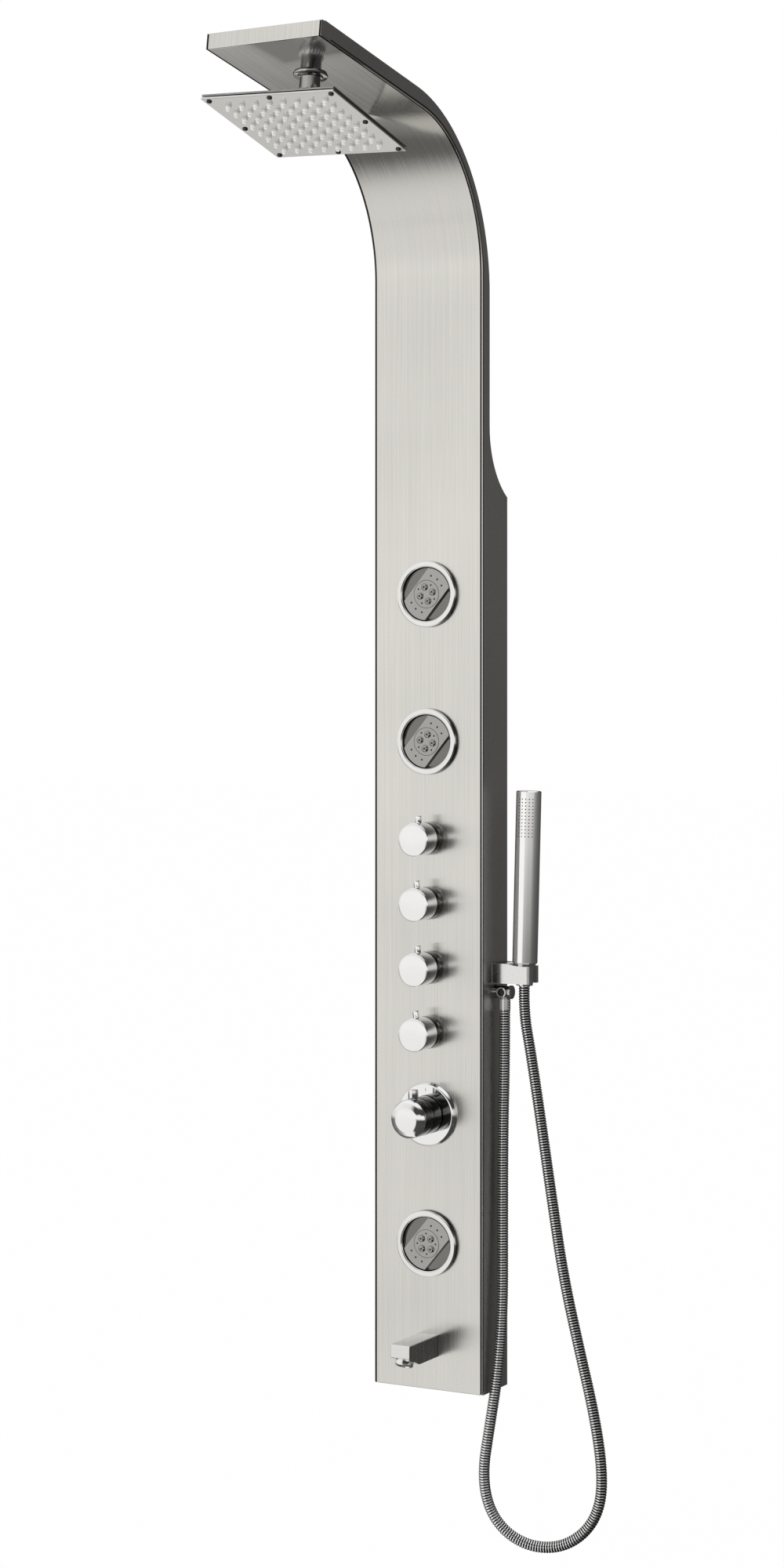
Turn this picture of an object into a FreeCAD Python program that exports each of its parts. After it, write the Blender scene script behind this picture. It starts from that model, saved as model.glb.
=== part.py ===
"""Shower panel column: a bent stainless steel panel that hangs on a wall, with an overhead shower,
three body jets, four diverter knobs, a mixer, a bath spout and a hand shower on a hose.

Frame: +Z up, +X to the user's right, the wall is the plane y = 0 and the panel faces -Y.
The origin is the middle of the upper wall bracket's two screw holes. Millimetres and degrees.
"""

import FreeCAD, Part
import Sketcher
import math
import os
import re

# ---------------------------------------------------------------- driving dimensions
SIZES = {
    # steel case
    "panel_width": 155.0, "panel_depth": 70.0, "arm_depth": 20.0, "gauge": 1.2,
    "below_origin": 1070.0, "bend_z": 338.8, "front_radius": 185.0, "back_radius": 228.0,
    "arm_angle": 8.8, "arm_length": 252.5, "step_z": 150.0, "step_radius": 100.0,
    "flange_width": 11.0, "foot_width": 14.0,
    # hanging on the wall
    "bracket_width": 120.0, "bracket_gauge": 2.0, "bracket_low": 16.0, "bracket_web": 12.0,
    "hook_gap": 2.0, "hook_height": 18.0, "bracket_pitch": 90.0, "bracket_hole": 2.75,
    "rail_gauge": 2.6, "rail_height": 30.0, "lower_bracket": -960.0,
    # body jets
    "jet_a": -61.0, "jet_b": -248.0, "jet_c": -885.0, "jet_ring": 42.0, "jet_bore": 34.5,
    "jet_ball": 34.0, "jet_centre": -3.0, "jet_face": 4.5, "jet_rotor": 17.6, "jet_band": 19.6,
    "jet_band_angle": 50.0,
    "jet_carrier": 37.2, "jet_cup": 42.0, "jet_screw_circle": 40.0,
    # diverter knobs
    "knob_a": -371.0, "knob_pitch": 82.0, "knob_radius": 21.0, "knob_gap": 6.0, "knob_length": 35.0,
    "valve_radius": 10.8, "spindle_radius": 4.0, "knob_pin": 3.2, "knob_pin_at": 26.0,
    # mixer
    "pipe_y": -33.0, "mixer_z": -721.0, "mixer_plate": 41.0, "mixer_barrel": 24.5, "mixer_valve": 17.5,
    "inlet_radius": 10.4, "inlet_length": 14.0, "inlet_offset": 38.0, "inlet_y": -21.0,
    # spout
    "spout_width": 27.4, "spout_reach": 75.0, "spout_top": 1000.0, "spout_height": 28.0,
    "aerator_radius": 11.5,
    # overhead shower, along the arm's own axes from the ball's centre
    "head_from_tip": 110.7, "ball_drop": 33.0, "head_drop": 62.8, "head_side": 180.0,
    "head_plate": 2.4, "mat_gauge": 1.2, "head_screw_span": 82.5, "nozzle_pitch": 18.8,
    "nozzle_collar": 2.9, "nozzle_tip": 1.8, "ball_radius": 9.0,
    # hand shower and its holder
    "handset_x": 114.0, "handset_y": -23.7, "handset_z": -528.5, "handset_radius": 16.0,
    "handset_length": 218.5, "handset_lean": 1.5, "holder_reach": 129.0, "holder_front": -43.2,
    "holder_back": -4.2, "holder_low": -553.4, "holder_height": 25.0, "holder_round": 4.0,
    # hose
    "outlet_x": 89.5, "outlet_y": -31.5, "outlet_z": -565.0, "hose_radius": 7.0, "hose_bore": 4.2,
    "hose_top": -589.0, "hose_ribs": 200.0,
}
S = SIZES
V = FreeCAD.Vector

doc = FreeCAD.newDocument("shower_panel")
sheet = doc.addObject("Spreadsheet::Sheet", "Sizes")
for row, (alias, value) in enumerate(SIZES.items(), start=1):
    sheet.set(f"A{row}", alias)
    sheet.set(f"B{row}", str(value))
    sheet.setAlias(f"B{row}", alias)
doc.recompute()

# turns that point a local +Z axis along a row axis
UPRIGHT = FreeCAD.Rotation()
OUTWARD = FreeCAD.Rotation(V(1, 0, 0), 90)
ALONG_X = FreeCAD.Rotation(V(0, 1, 0), 90)
DOWN = FreeCAD.Rotation(V(1, 0, 0), 180)


# ---------------------------------------------------------------- parametric helpers
def linked(formula):
    """Return the formula with each alias written as a cell of the sheet."""
    def cell(word):
        return f"Sizes.{word.group()}" if word.group() in SIZES else word.group()
    return re.sub(r"[a-z][a-z_]*", cell, str(formula))


def bind(item, **formulas):
    """Bind properties of an object to formulas of the sheet's cells."""
    for name, formula in formulas.items():
        item.setExpression(name, linked(formula))
    return item


def put(item, at=(0, 0, 0), turn=UPRIGHT):
    """Turn an object and bind its base point to formulas."""
    item.Placement = FreeCAD.Placement(V(0, 0, 0), turn)
    for axis, formula in zip("xyz", at):
        if formula != 0:
            item.setExpression(f"Placement.Base.{axis}", linked(formula))
    return item


def box(length, width, height, at=(0, 0, 0), turn=UPRIGHT):
    """A block from its lowest corner."""
    item = doc.addObject("Part::Box", "Block")
    return put(bind(item, Length=length, Width=width, Height=height), at, turn)


def slab(length, width, height, z=0, y=0):
    """A block centred on x and on y, rising from z."""
    return box(length, width, height, (f"-({length}) / 2", f"{y} - ({width}) / 2", z))


def disc(radius, height, at=(0, 0, 0), turn=UPRIGHT, sweep=360):
    """A round bar or a sector of one."""
    item = doc.addObject("Part::Cylinder", "Disc")
    return put(bind(item, Radius=radius, Height=height, Angle=sweep), at, turn)


def cone(low, high, height, at=(0, 0, 0), turn=UPRIGHT):
    """A truncated cone."""
    item = doc.addObject("Part::Cone", "Cone")
    return put(bind(item, Radius1=low, Radius2=high, Height=height), at, turn)


def ball(radius, z=0):
    """A sphere on the local axis."""
    return put(bind(doc.addObject("Part::Sphere", "Ball"), Radius=radius), (0, 0, z))


def fuse(*items):
    """One solid from several that meet."""
    if len(items) == 1:
        return items[0]
    item = doc.addObject("Part::MultiFuse", "Fuse")
    item.Shapes = list(items)
    return item


def cut(base, *tools):
    """The base without the tools."""
    item = doc.addObject("Part::Cut", "Cut")
    item.Base = base
    item.Tool = fuse(*tools)
    return item


def common(first, second):
    """What two solids share."""
    item = doc.addObject("Part::Common", "Common")
    item.Base = first
    item.Tool = second
    return item


def group(*items):
    """Separate solids that share one node."""
    item = doc.addObject("Part::Compound", "Group")
    item.Links = list(items)
    return item


def turned(start, *sections):
    """A turned piece: (low radius, high radius, height) sections stacked upwards from start."""
    items, level = [], str(start)
    for low, high, height in sections:
        same = low == high
        items.append(disc(low, height, (0, 0, level)) if same else cone(low, high, height, (0, 0, level)))
        level = f"{level} + {height}"
    return fuse(*items)


PARTS = {}


def part(label, item, at=None, turn=UPRIGHT):
    """Name a finished sub-part and, where asked, put its local frame in the row frame."""
    item.Label = label
    if at is not None:
        put(item, at, turn)
    PARTS[label] = item
    return item


def around(make, count, radius, first=0.0):
    """Copies of a piece on a circle: make(x, y) for each place."""
    steps = [math.radians(first + 360.0 * i / count) for i in range(count)]
    return [make(f"{radius} * {math.cos(a):.6f}", f"{radius} * {math.sin(a):.6f}") for a in steps]


# ---------------------------------------------------------------- sketch helpers
def plane(body, role):
    """An origin plane or axis of a body, found by its role."""
    return next(f for f in body.Origin.OriginFeatures if f.Role == role)


def sketch_on(body, role, name, lift=0):
    """A sketch on an origin plane, lifted along the plane's normal."""
    item = body.newObject("Sketcher::SketchObject", name)
    item.AttachmentSupport = [(plane(body, role), "")]
    item.MapMode = "FlatFace"
    if lift != 0:
        item.setExpression("AttachmentOffset.Base.z", linked(lift))
    return item


def measure(sketch, kind, *where, formula, first):
    """A driving constraint bound to a formula."""
    index = sketch.addConstraint(Sketcher.Constraint(kind, *where, first))
    sketch.setExpression(f"Constraints[{index}]", linked(formula))


def polygon(sketch, corners):
    """A closed outline: corners are (start value, formula) pairs for each coordinate."""
    count = len(corners)
    points = [V(x[0], y[0], 0) for x, y in corners]
    for i in range(count):
        sketch.addGeometry(Part.LineSegment(points[i], points[(i + 1) % count]))
    for i in range(count):
        sketch.addConstraint(Sketcher.Constraint("Coincident", i, 2, (i + 1) % count, 1))
    for i, (x, y) in enumerate(corners):
        for kind, (first, formula) in (("DistanceX", x), ("DistanceY", y)):
            measure(sketch, kind, -1, 1, i, 1, formula=formula, first=first)


def centred_square(sketch, side, formula):
    """A square about the sketch's origin."""
    half = side / 2
    low, high = (-half, f"-({formula}) / 2"), (half, f"({formula}) / 2")
    polygon(sketch, [(low, low), (high, low), (high, high), (low, high)])


def circle_row(sketch, places, radius, formula):
    """Circles of one size at (x, y) pairs of (start value, formula)."""
    for i, (x, y) in enumerate(places):
        sketch.addGeometry(Part.Circle(V(x[0], y[0], 0), V(0, 0, 1), radius))
        if i == 0:
            measure(sketch, "Radius", 0, formula=formula, first=radius)
        else:
            sketch.addConstraint(Sketcher.Constraint("Equal", 0, i))
        measure(sketch, "DistanceX", -1, 1, i, 3, formula=x[1], first=x[0])
        measure(sketch, "DistanceY", -1, 1, i, 3, formula=y[1], first=y[0])


def pad(body, sketch, formula, both=False, down=False):
    """A pad of a sketch, on one side or on both."""
    item = body.newObject("PartDesign::Pad", "Pad")
    item.Profile = sketch
    item.Midplane = both
    item.Reversed = down
    bind(item, Length=formula)
    body.Tip = item
    doc.recompute()
    return item


def pocket_through(body, sketch):
    """A pocket through everything, on both sides of its sketch; it has to remove metal."""
    before = body.Shape.Volume
    item = body.newObject("PartDesign::Pocket", "Pocket")
    item.Profile = sketch
    item.Type = "ThroughAll"
    item.Midplane = True
    body.Tip = item
    doc.recompute()
    assert item.Shape.Volume < before, body.Label
    return item


def repeat(body, feature, sketch, count, formula):
    """Copies of a feature along its sketch's vertical axis."""
    item = body.newObject("PartDesign::LinearPattern", "Row")
    item.Originals = [feature]
    item.Direction = (sketch, ["V_Axis"])
    item.Occurrences = count
    bind(item, Length=formula)
    body.Tip = item
    doc.recompute()
    return item


# ---------------------------------------------------------------- steel case
SIN = math.sin(math.radians(S["arm_angle"]))
COS = math.cos(math.radians(S["arm_angle"]))
HALF = "panel_width / 2"
# the back arc's centre is lower than the front arc's, so that both meet the arm square
BACK_BEND = "(bend_z - (back_radius - front_radius - arm_depth) * (1 - sin(arm_angle)) / cos(arm_angle))"
FRONT_CENTRE = "(-panel_depth - front_radius)"
BACK_CENTRE = "(arm_depth - panel_depth - back_radius)"
ARM_TURN = FreeCAD.Rotation(V(1, 0, 0), -S["arm_angle"])


def sector_turn():
    """Local Z along +X and local X along +Y, so that a sector opens from +Y towards +Z."""
    return FreeCAD.Rotation(FreeCAD.Matrix(0, 0, 1, 0, 1, 0, 0, 0, 0, 1, 0, 0, 0, 0, 0, 1))


def bent_strip(radius_in, radius_out, centre_y, centre_z):
    """The quarter-like bend of a sheet across the panel's width."""
    at = (f"-{HALF}", centre_y, centre_z)
    outer = disc(radius_out, "panel_width", at, sector_turn(), "90 - arm_angle")
    return cut(outer, disc(radius_in, "panel_width", at, sector_turn()))


def arm_strip(radius, centre_y, centre_z, length, thickness):
    """A flat sheet along the arm, from the end of a bend of that radius to the tip."""
    item = box("panel_width", length, thickness)
    y = f"{centre_y} + ({radius}) * sin(arm_angle) - ({length}) * cos(arm_angle)"
    z = f"{centre_z} + ({radius}) * cos(arm_angle) + ({length}) * sin(arm_angle)"
    return put(item, (f"-{HALF}", y, z), ARM_TURN)


def front_hole(radius, z, x=0):
    """A cutter through the front sheet."""
    return disc(radius, 8, (x, "4 - panel_depth", z), OUTWARD)


tip_y = f"({FRONT_CENTRE} + front_radius * sin(arm_angle) - arm_length * cos(arm_angle))"
tip_z = "(bend_z + front_radius * cos(arm_angle) + arm_length * sin(arm_angle))"
JETS = ("jet_a", "jet_b", "jet_c")
KNOBS = [f"(knob_a - {i} * knob_pitch)" for i in range(4)]
root_y = f"({tip_y} + head_from_tip * cos(arm_angle))"
root_z = f"({tip_z} - head_from_tip * sin(arm_angle))"
ARM_DOWN = FreeCAD.Rotation(V(1, 0, 0), 180 - S["arm_angle"])


def front_sheet():
    """The bent front: upright face, bend, underside of the arm, tip and a folded foot."""
    upright = box("panel_width", "gauge", "bend_z + below_origin", (f"-{HALF}", "-panel_depth",
                                                                    "-below_origin"))
    bend = bent_strip("front_radius", "front_radius + gauge", FRONT_CENTRE, "bend_z")
    arm = arm_strip("front_radius", FRONT_CENTRE, "bend_z", "arm_length", "gauge")
    tip = put(box("panel_width", "gauge", "arm_depth - gauge"), (f"-{HALF}", tip_y, tip_z), ARM_TURN)
    foot = box("panel_width - 2 * gauge", "foot_width", "gauge",
               (f"gauge - {HALF}", "-panel_depth", "-below_origin"))
    holes = [front_hole("jet_bore + 3.1", z) for z in JETS]
    for z in JETS:
        holes += around(lambda x, dz, z=z: front_hole(1.6, f"{z} + {dz}", x), 3, "jet_screw_circle", 90)
    holes += [front_hole("valve_radius + 0.3", z) for z in KNOBS]
    holes += [front_hole("mixer_valve + 0.3", "mixer_z"), front_hole(8.3,
                                                                     "spout_height / 2 - spout_top - 28")]
    holes.append(disc(8.3, 8, (0, f"{root_y} + 4 * sin(arm_angle)", f"{root_z} + 4 * cos(arm_angle)"),
                      ARM_DOWN))
    return cut(fuse(upright, bend, arm, tip, foot), *holes)


def back_sheet():
    """The cover on the arm's top, round the bend and down the step to the wall."""
    at = (f"-{HALF}", BACK_CENTRE, BACK_BEND)
    bend = cut(disc("back_radius", "panel_width", at, sector_turn(), "90 - arm_angle"),
               disc("back_radius - gauge", "panel_width", at, sector_turn()))
    length = ("((back_radius - front_radius - arm_depth) * (sin(arm_angle) - 1) / cos(arm_angle)"
              " * sin(arm_angle) + (arm_depth - back_radius + front_radius) * cos(arm_angle) + arm_length)")
    arm = arm_strip("(back_radius - gauge)", BACK_CENTRE, BACK_BEND, length, "gauge")
    upright = box("panel_width", "gauge", f"{BACK_BEND} - step_z",
                  (f"-{HALF}", "arm_depth - panel_depth - gauge", "step_z"))
    centre = (f"-{HALF}", "arm_depth - panel_depth + step_radius", "step_z")
    ring = cut(disc("step_radius + gauge", "panel_width", centre, ALONG_X),
               disc("step_radius", "panel_width", centre, ALONG_X))
    corner = box("panel_width", "panel_depth - arm_depth + 2 * gauge", "step_radius",
                 (f"-{HALF}", "arm_depth - panel_depth - 2 * gauge", "step_z - step_radius"))
    return fuse(bend, arm, upright, common(ring, corner))


def side_sheet():
    """The right side: its outline follows the front and the back, with a flange folded in at the wall."""
    body = doc.addObject("PartDesign::Body", "RightSide")
    g = S["gauge"]
    sketch = sketch_on(body, "YZ_Plane", "SideOutline")
    front, floor = g - S["panel_depth"], -S["below_origin"]
    fr, br, sr = S["front_radius"] + g, S["back_radius"] - g, S["step_radius"] + g
    fy, fz = -S["panel_depth"] - S["front_radius"], S["bend_z"]
    by = S["arm_depth"] - S["panel_depth"] - S["back_radius"]
    bz = fz - (S["back_radius"] - S["front_radius"] - S["arm_depth"]) * (1 - SIN) / COS
    back = S["arm_depth"] - S["panel_depth"] - g
    sy, sz = back + sr, S["step_z"]
    sweep = math.pi / 2 - math.radians(S["arm_angle"])
    tip = V(fy + S["front_radius"] * SIN - S["arm_length"] * COS,
            fz + S["front_radius"] * COS + S["arm_length"] * SIN, 0)
    low_tip = tip + V(COS, -SIN, 0) * g + V(SIN, COS, 0) * g
    high_tip = low_tip + V(SIN, COS, 0) * (S["arm_depth"] - 2 * g)
    drop = math.acos((sr - (0 - back)) / sr)
    a = V(front, floor, 0)
    b = V(front, fz, 0)
    c = V(fy + fr * SIN, fz + fr * COS, 0)
    f = V(by + br * SIN, bz + br * COS, 0)
    h = V(back, bz, 0)
    i = V(back, sz, 0)
    j = V(0, sz - sr * math.sin(drop), 0)
    k = V(0, floor, 0)
    axis = V(0, 0, 1)
    lines = [Part.LineSegment(a, b), Part.ArcOfCircle(Part.Circle(V(fy, fz, 0), axis, fr), 0, sweep),
             Part.LineSegment(c, low_tip), Part.LineSegment(low_tip, high_tip), Part.LineSegment(high_tip, f),
             Part.ArcOfCircle(Part.Circle(V(by, bz, 0), axis, br), 0, sweep), Part.LineSegment(h, i),
             Part.ArcOfCircle(Part.Circle(V(sy, sz, 0), axis, sr), math.pi, math.pi + drop),
             Part.LineSegment(j, k), Part.LineSegment(k, a)]
    for line in lines:
        sketch.addGeometry(line)
    joins = [(0, 2, 1, 1), (1, 2, 2, 1), (2, 2, 3, 1), (3, 2, 4, 1), (4, 2, 5, 2), (5, 1, 6, 1),
             (6, 2, 7, 1), (7, 2, 8, 1), (8, 2, 9, 1), (9, 2, 0, 1)]
    smooth = {(0, 1), (1, 2), (4, 5), (5, 6), (6, 7)}
    for p, pe, q, qe in joins:
        kind = "Tangent" if (p, q) in smooth else "Coincident"
        sketch.addConstraint(Sketcher.Constraint(kind, p, pe, q, qe))
    for upright_line in (0, 6, 8):
        sketch.addConstraint(Sketcher.Constraint("Vertical", upright_line))
    sketch.addConstraint(Sketcher.Constraint("Horizontal", 9))
    sketch.addConstraint(Sketcher.Constraint("Parallel", 2, 4))
    sketch.addConstraint(Sketcher.Constraint("Perpendicular", 2, 3))
    measure(sketch, "Radius", 1, formula="front_radius + gauge", first=fr)
    measure(sketch, "Radius", 5, formula="back_radius - gauge", first=br)
    measure(sketch, "Radius", 7, formula="step_radius + gauge", first=sr)
    measure(sketch, "DistanceX", -1, 1, 0, 1, formula="gauge - panel_depth", first=front)
    measure(sketch, "DistanceY", -1, 1, 0, 1, formula="-below_origin", first=floor)
    measure(sketch, "DistanceY", -1, 1, 1, 3, formula="bend_z", first=fz)
    measure(sketch, "DistanceX", -1, 1, 6, 1, formula="arm_depth - panel_depth - gauge", first=back)
    measure(sketch, "DistanceY", -1, 1, 6, 2, formula="step_z", first=sz)
    measure(sketch, "DistanceX", -1, 1, 8, 1, formula="0 * gauge", first=0.0)
    measure(sketch, "Distance", 3, formula="arm_depth - 2 * gauge", first=S["arm_depth"] - 2 * g)
    measure(sketch, "DistanceX", -1, 1, 2, 2, first=low_tip.x,
            formula=f"{tip_y} + gauge * cos(arm_angle) + gauge * sin(arm_angle)")
    measure(sketch, "DistanceY", -1, 1, 2, 2, first=low_tip.y,
            formula=f"{tip_z} - gauge * sin(arm_angle) + gauge * cos(arm_angle)")
    pad(body, sketch, "gauge")
    fold = sketch_on(body, "XY_Plane", "WallFlange", "-below_origin")
    w = S["flange_width"]
    polygon(fold, [((-w, "-flange_width"), (-g, "-gauge")), ((g, "gauge"), (-g, "-gauge")),
                   ((g, "gauge"), (0.0, "0 * gauge")), ((-w, "-flange_width"), (0.0, "0 * gauge"))])
    pad(body, fold, "below_origin + 60")
    return body


def steel_case():
    """The four sheets of the case and its two hanging rails."""
    part("front_panel", front_sheet())
    part("back_cover", back_sheet())
    right = side_sheet()
    outlet_hole = disc(6.3, 6, ("-3", "outlet_y", "outlet_z"), ALONG_X)
    part("side_panel_right", cut(right, outlet_hole), (f"{HALF} - gauge", 0, 0))
    mirrored = doc.addObject("Part::Mirroring", "LeftSide")
    mirrored.Source = side_sheet()
    mirrored.Normal = V(1, 0, 0)
    part("side_panel_left", mirrored, (f"gauge - {HALF}", 0, 0))
    rail = ("panel_width - 2 * gauge", "rail_gauge", "rail_height")
    at = "bracket_web + bracket_gauge"
    levels = (at, f"lower_bracket + {at}")
    part("hanger_rails", group(*[slab(*rail, level, "-gauge - rail_gauge / 2") for level in levels]))


def wall_bracket(name):
    """A plate screwed to the wall whose folded hook carries a rail of the panel."""
    body = doc.addObject("PartDesign::Body", name)
    profile = sketch_on(body, "YZ_Plane", "HookProfile")
    t = S["bracket_gauge"]
    lip = t + S["hook_gap"]
    web, low = S["bracket_web"], -S["bracket_low"]
    hook = "bracket_gauge + hook_gap"
    top = web + S["hook_height"]
    zero, back = (0.0, "0 * gauge"), (-t, "-bracket_gauge")
    polygon(profile, [
        (zero, (low, "-bracket_low")),
        (zero, (web + t, "bracket_web + bracket_gauge")),
        ((-lip, f"-({hook})"), (web + t, "bracket_web + bracket_gauge")),
        ((-lip, f"-({hook})"), (top, "bracket_web + hook_height")),
        ((-lip - t, f"-({hook} + bracket_gauge)"), (top, "bracket_web + hook_height")),
        ((-lip - t, f"-({hook} + bracket_gauge)"), (web, "bracket_web")),
        (back, (web, "bracket_web")),
        (back, (low, "-bracket_low"))])
    pad(body, profile, "bracket_width", both=True)
    holes = sketch_on(body, "XZ_Plane", "ScrewHoles")
    half = S["bracket_pitch"] / 2
    circle_row(holes, [((-half, "-bracket_pitch / 2"), zero), ((half, "bracket_pitch / 2"), zero)],
               S["bracket_hole"], "bracket_hole")
    pocket_through(body, holes)
    return body


# ---------------------------------------------------------------- body jets
def jet_bezel():
    """The chrome ring, with three blind screw holes behind."""
    ring = turned(0, ("jet_ring", "jet_ring", 2.2), ("jet_ring", "jet_ring - 1", 2), ("jet_ring - 1",
                                                                                      "jet_ring - 3.2", 2),
                  ("jet_ring - 3.2", "jet_ring - 5.4", 0.8))
    bore = turned(-1, ("jet_bore", "jet_bore", 7), ("jet_bore", "jet_bore + 1.2", 2))
    holes = around(lambda x, y: disc(1.45, 4.5, (x, y, -1)), 3, "jet_screw_circle", 90)
    return cut(ring, bore, *holes)


def jet_face():
    """The swivelling insert: a round-edged disc whose front keeps a raised band, with a well for the rotor."""
    blank = common(ball("jet_ball", "jet_centre"), disc("jet_ball", "jet_face + 11", (0, 0, "-11")))
    band = FreeCAD.Rotation(V(0, 0, 1), S["jet_band_angle"])
    wells = []
    for side in (1, -1):
        edge = S["jet_band"] if side > 0 else -S["jet_band"] - 20
        corner = band.multVec(V(-40, edge, 0))
        wells.append(put(box(80, 20, 5), (f"{corner.x:.6f}", f"{corner.y:.6f}", "jet_face - 3.8"), band))
    well = disc("jet_rotor + 0.3", 8, (0, 0, "jet_face - 4"))
    stem = disc(3.06, 20, (0, 0, -14))
    pins = disc(1.56, 100, (-50, 0, "jet_centre"), ALONG_X)
    holes = []
    for end in (0, 180):
        for spread in (-24, 0, 24):
            angle = f"(jet_band_angle + {end + spread})"
            place = [f"(jet_rotor + 6.4) * {turn}{angle}" for turn in ("cos", "sin")]
            holes.append(disc(0.9, 3, (*place, "jet_face - 2")))
    return cut(blank, well, stem, pins, *wells, *holes)


def jet_rotor():
    """The turning nozzle disc: four domed nozzles, four small holes and a stem through the insert."""
    plate = disc("jet_rotor", 3.8, (0, 0, "jet_face - 3.8"))
    stem = disc(3, 12, (0, 0, "jet_face - 14"))
    domes = around(lambda x, y: cone(4.1, 2, 2.8, (x, y, "jet_face")), 4, 9.2, 15.5)
    bores = around(lambda x, y: disc(0.8, 5, (x, y, "jet_face - 1")), 4, 9.2, 15.5)
    bores += around(lambda x, y: disc(0.8, 3, (x, y, "jet_face - 2")), 4, 13, 60.5)
    return cut(fuse(plate, stem, *domes), *bores)


def jet_carrier():
    """The ring that turns in the cup and holds the insert between two pivot pins."""
    ring = cut(disc("jet_carrier", 8.5, (0, 0, "jet_centre - 6.3")), ball("jet_ball + 0.4", "jet_centre"))
    pins = [disc(1.5, 4.6, (x, 0, "jet_centre"), ALONG_X) for x in ("-jet_ball - 1.6", "jet_ball - 3")]
    return fuse(ring, *pins)


def jet_cup():
    """The water box behind the panel, with its flange, feed spigot and screw holes."""
    outer = turned(-34, ("jet_cup - 13", "jet_cup - 3.3", 12), ("jet_cup - 3.3", "jet_cup - 3.3", 16),
                   ("jet_cup + 1", "jet_cup + 1", "6 - gauge"))
    inner = turned(-31.5, ("jet_cup - 14", "jet_carrier + 0.3", 10), ("jet_carrier + 0.3",
                                                                      "jet_carrier + 0.3", 32))
    spigot = disc(6, 12, ("-jet_cup - 4", 0, -16), ALONG_X)
    feed = disc(3, 20, ("-jet_cup - 8", 0, -16), ALONG_X)
    holes = around(lambda x, y: disc(1.5, 9, (x, y, -9)), 3, "jet_screw_circle", 90)
    heads = around(lambda x, y: disc(2.1, 3, (x, y, -9)), 3, "jet_screw_circle", 90)
    return cut(fuse(outer, spigot), inner, feed, *holes, *heads)


def jet_screws():
    """Three screws from behind, through the cup's flange and the sheet, into the ring."""
    return around(lambda x, y: fuse(disc(1.4, 8.5, (x, y, -6)), disc(2.0, 1.8, (x, y, -7.8))), 3,
                  "jet_screw_circle", 90)


def body_jets():
    """Three alike jets; their rotors stand at different angles."""
    cups, screws = [], []
    for letter, z in zip("abc", JETS):
        at = (0, "-panel_depth", z)
        part(f"jet_{letter}_bezel", jet_bezel(), at, OUTWARD)
        part(f"jet_{letter}_carrier", jet_carrier(), at, OUTWARD)
        part(f"jet_{letter}_face", jet_face(), at, OUTWARD)
        turn = {"a": 0, "b": -27, "c": 31}[letter]
        part(f"jet_{letter}_rotor", jet_rotor(), at, OUTWARD.multiply(FreeCAD.Rotation(V(0, 0, 1), turn)))
        cups.append(put(jet_cup(), at, OUTWARD))
        screws.append(put(group(*jet_screws()), at, OUTWARD))
    part("jet_cups", group(*cups))
    part("jet_screws", group(*screws))


# ---------------------------------------------------------------- diverters and mixer
def knob():
    """A round knob with a bore for its spindle."""
    top = "knob_gap + knob_length"
    blank = fuse(disc("knob_radius - 0.8", 0.8, (0, 0, "knob_gap")),
                 disc("knob_radius", "knob_length - 1.4", (0, 0, "knob_gap + 0.8")),
                 cone("knob_radius", "knob_radius - 0.8", 0.6, (0, 0, f"{top} - 0.6")),
                 cone("knob_radius - 0.8", "knob_radius - 12", 1.2, (0, 0, top)))
    spindle = disc("spindle_radius + 1.05", 25, (0, 0, "knob_gap - 1"))
    pin = disc(1.85, 14, (0, "knob_radius - 8", "knob_pin_at"), FreeCAD.Rotation(V(1, 0, 0), -90))
    return cut(blank, spindle, pin)


def lever_pin(radius, reach, height, z):
    """A lever pin that stands on a knob's side, with a thinner tail inside it."""
    side = FreeCAD.Rotation(V(1, 0, 0), -90)
    head = disc(radius, height, (0, reach, z), side)
    tail = disc(1.8, 8, (0, f"{reach} - 7.8", z), side)
    return fuse(head, tail)


def spindle(foot, shoulder, top):
    """A spindle: thin inside the valve, thicker inside the knob."""
    return turned(foot, ("spindle_radius", "spindle_radius", f"{shoulder} - ({foot})"),
                  ("spindle_radius + 1", "spindle_radius + 1", f"{top} - {shoulder}"))


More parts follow.
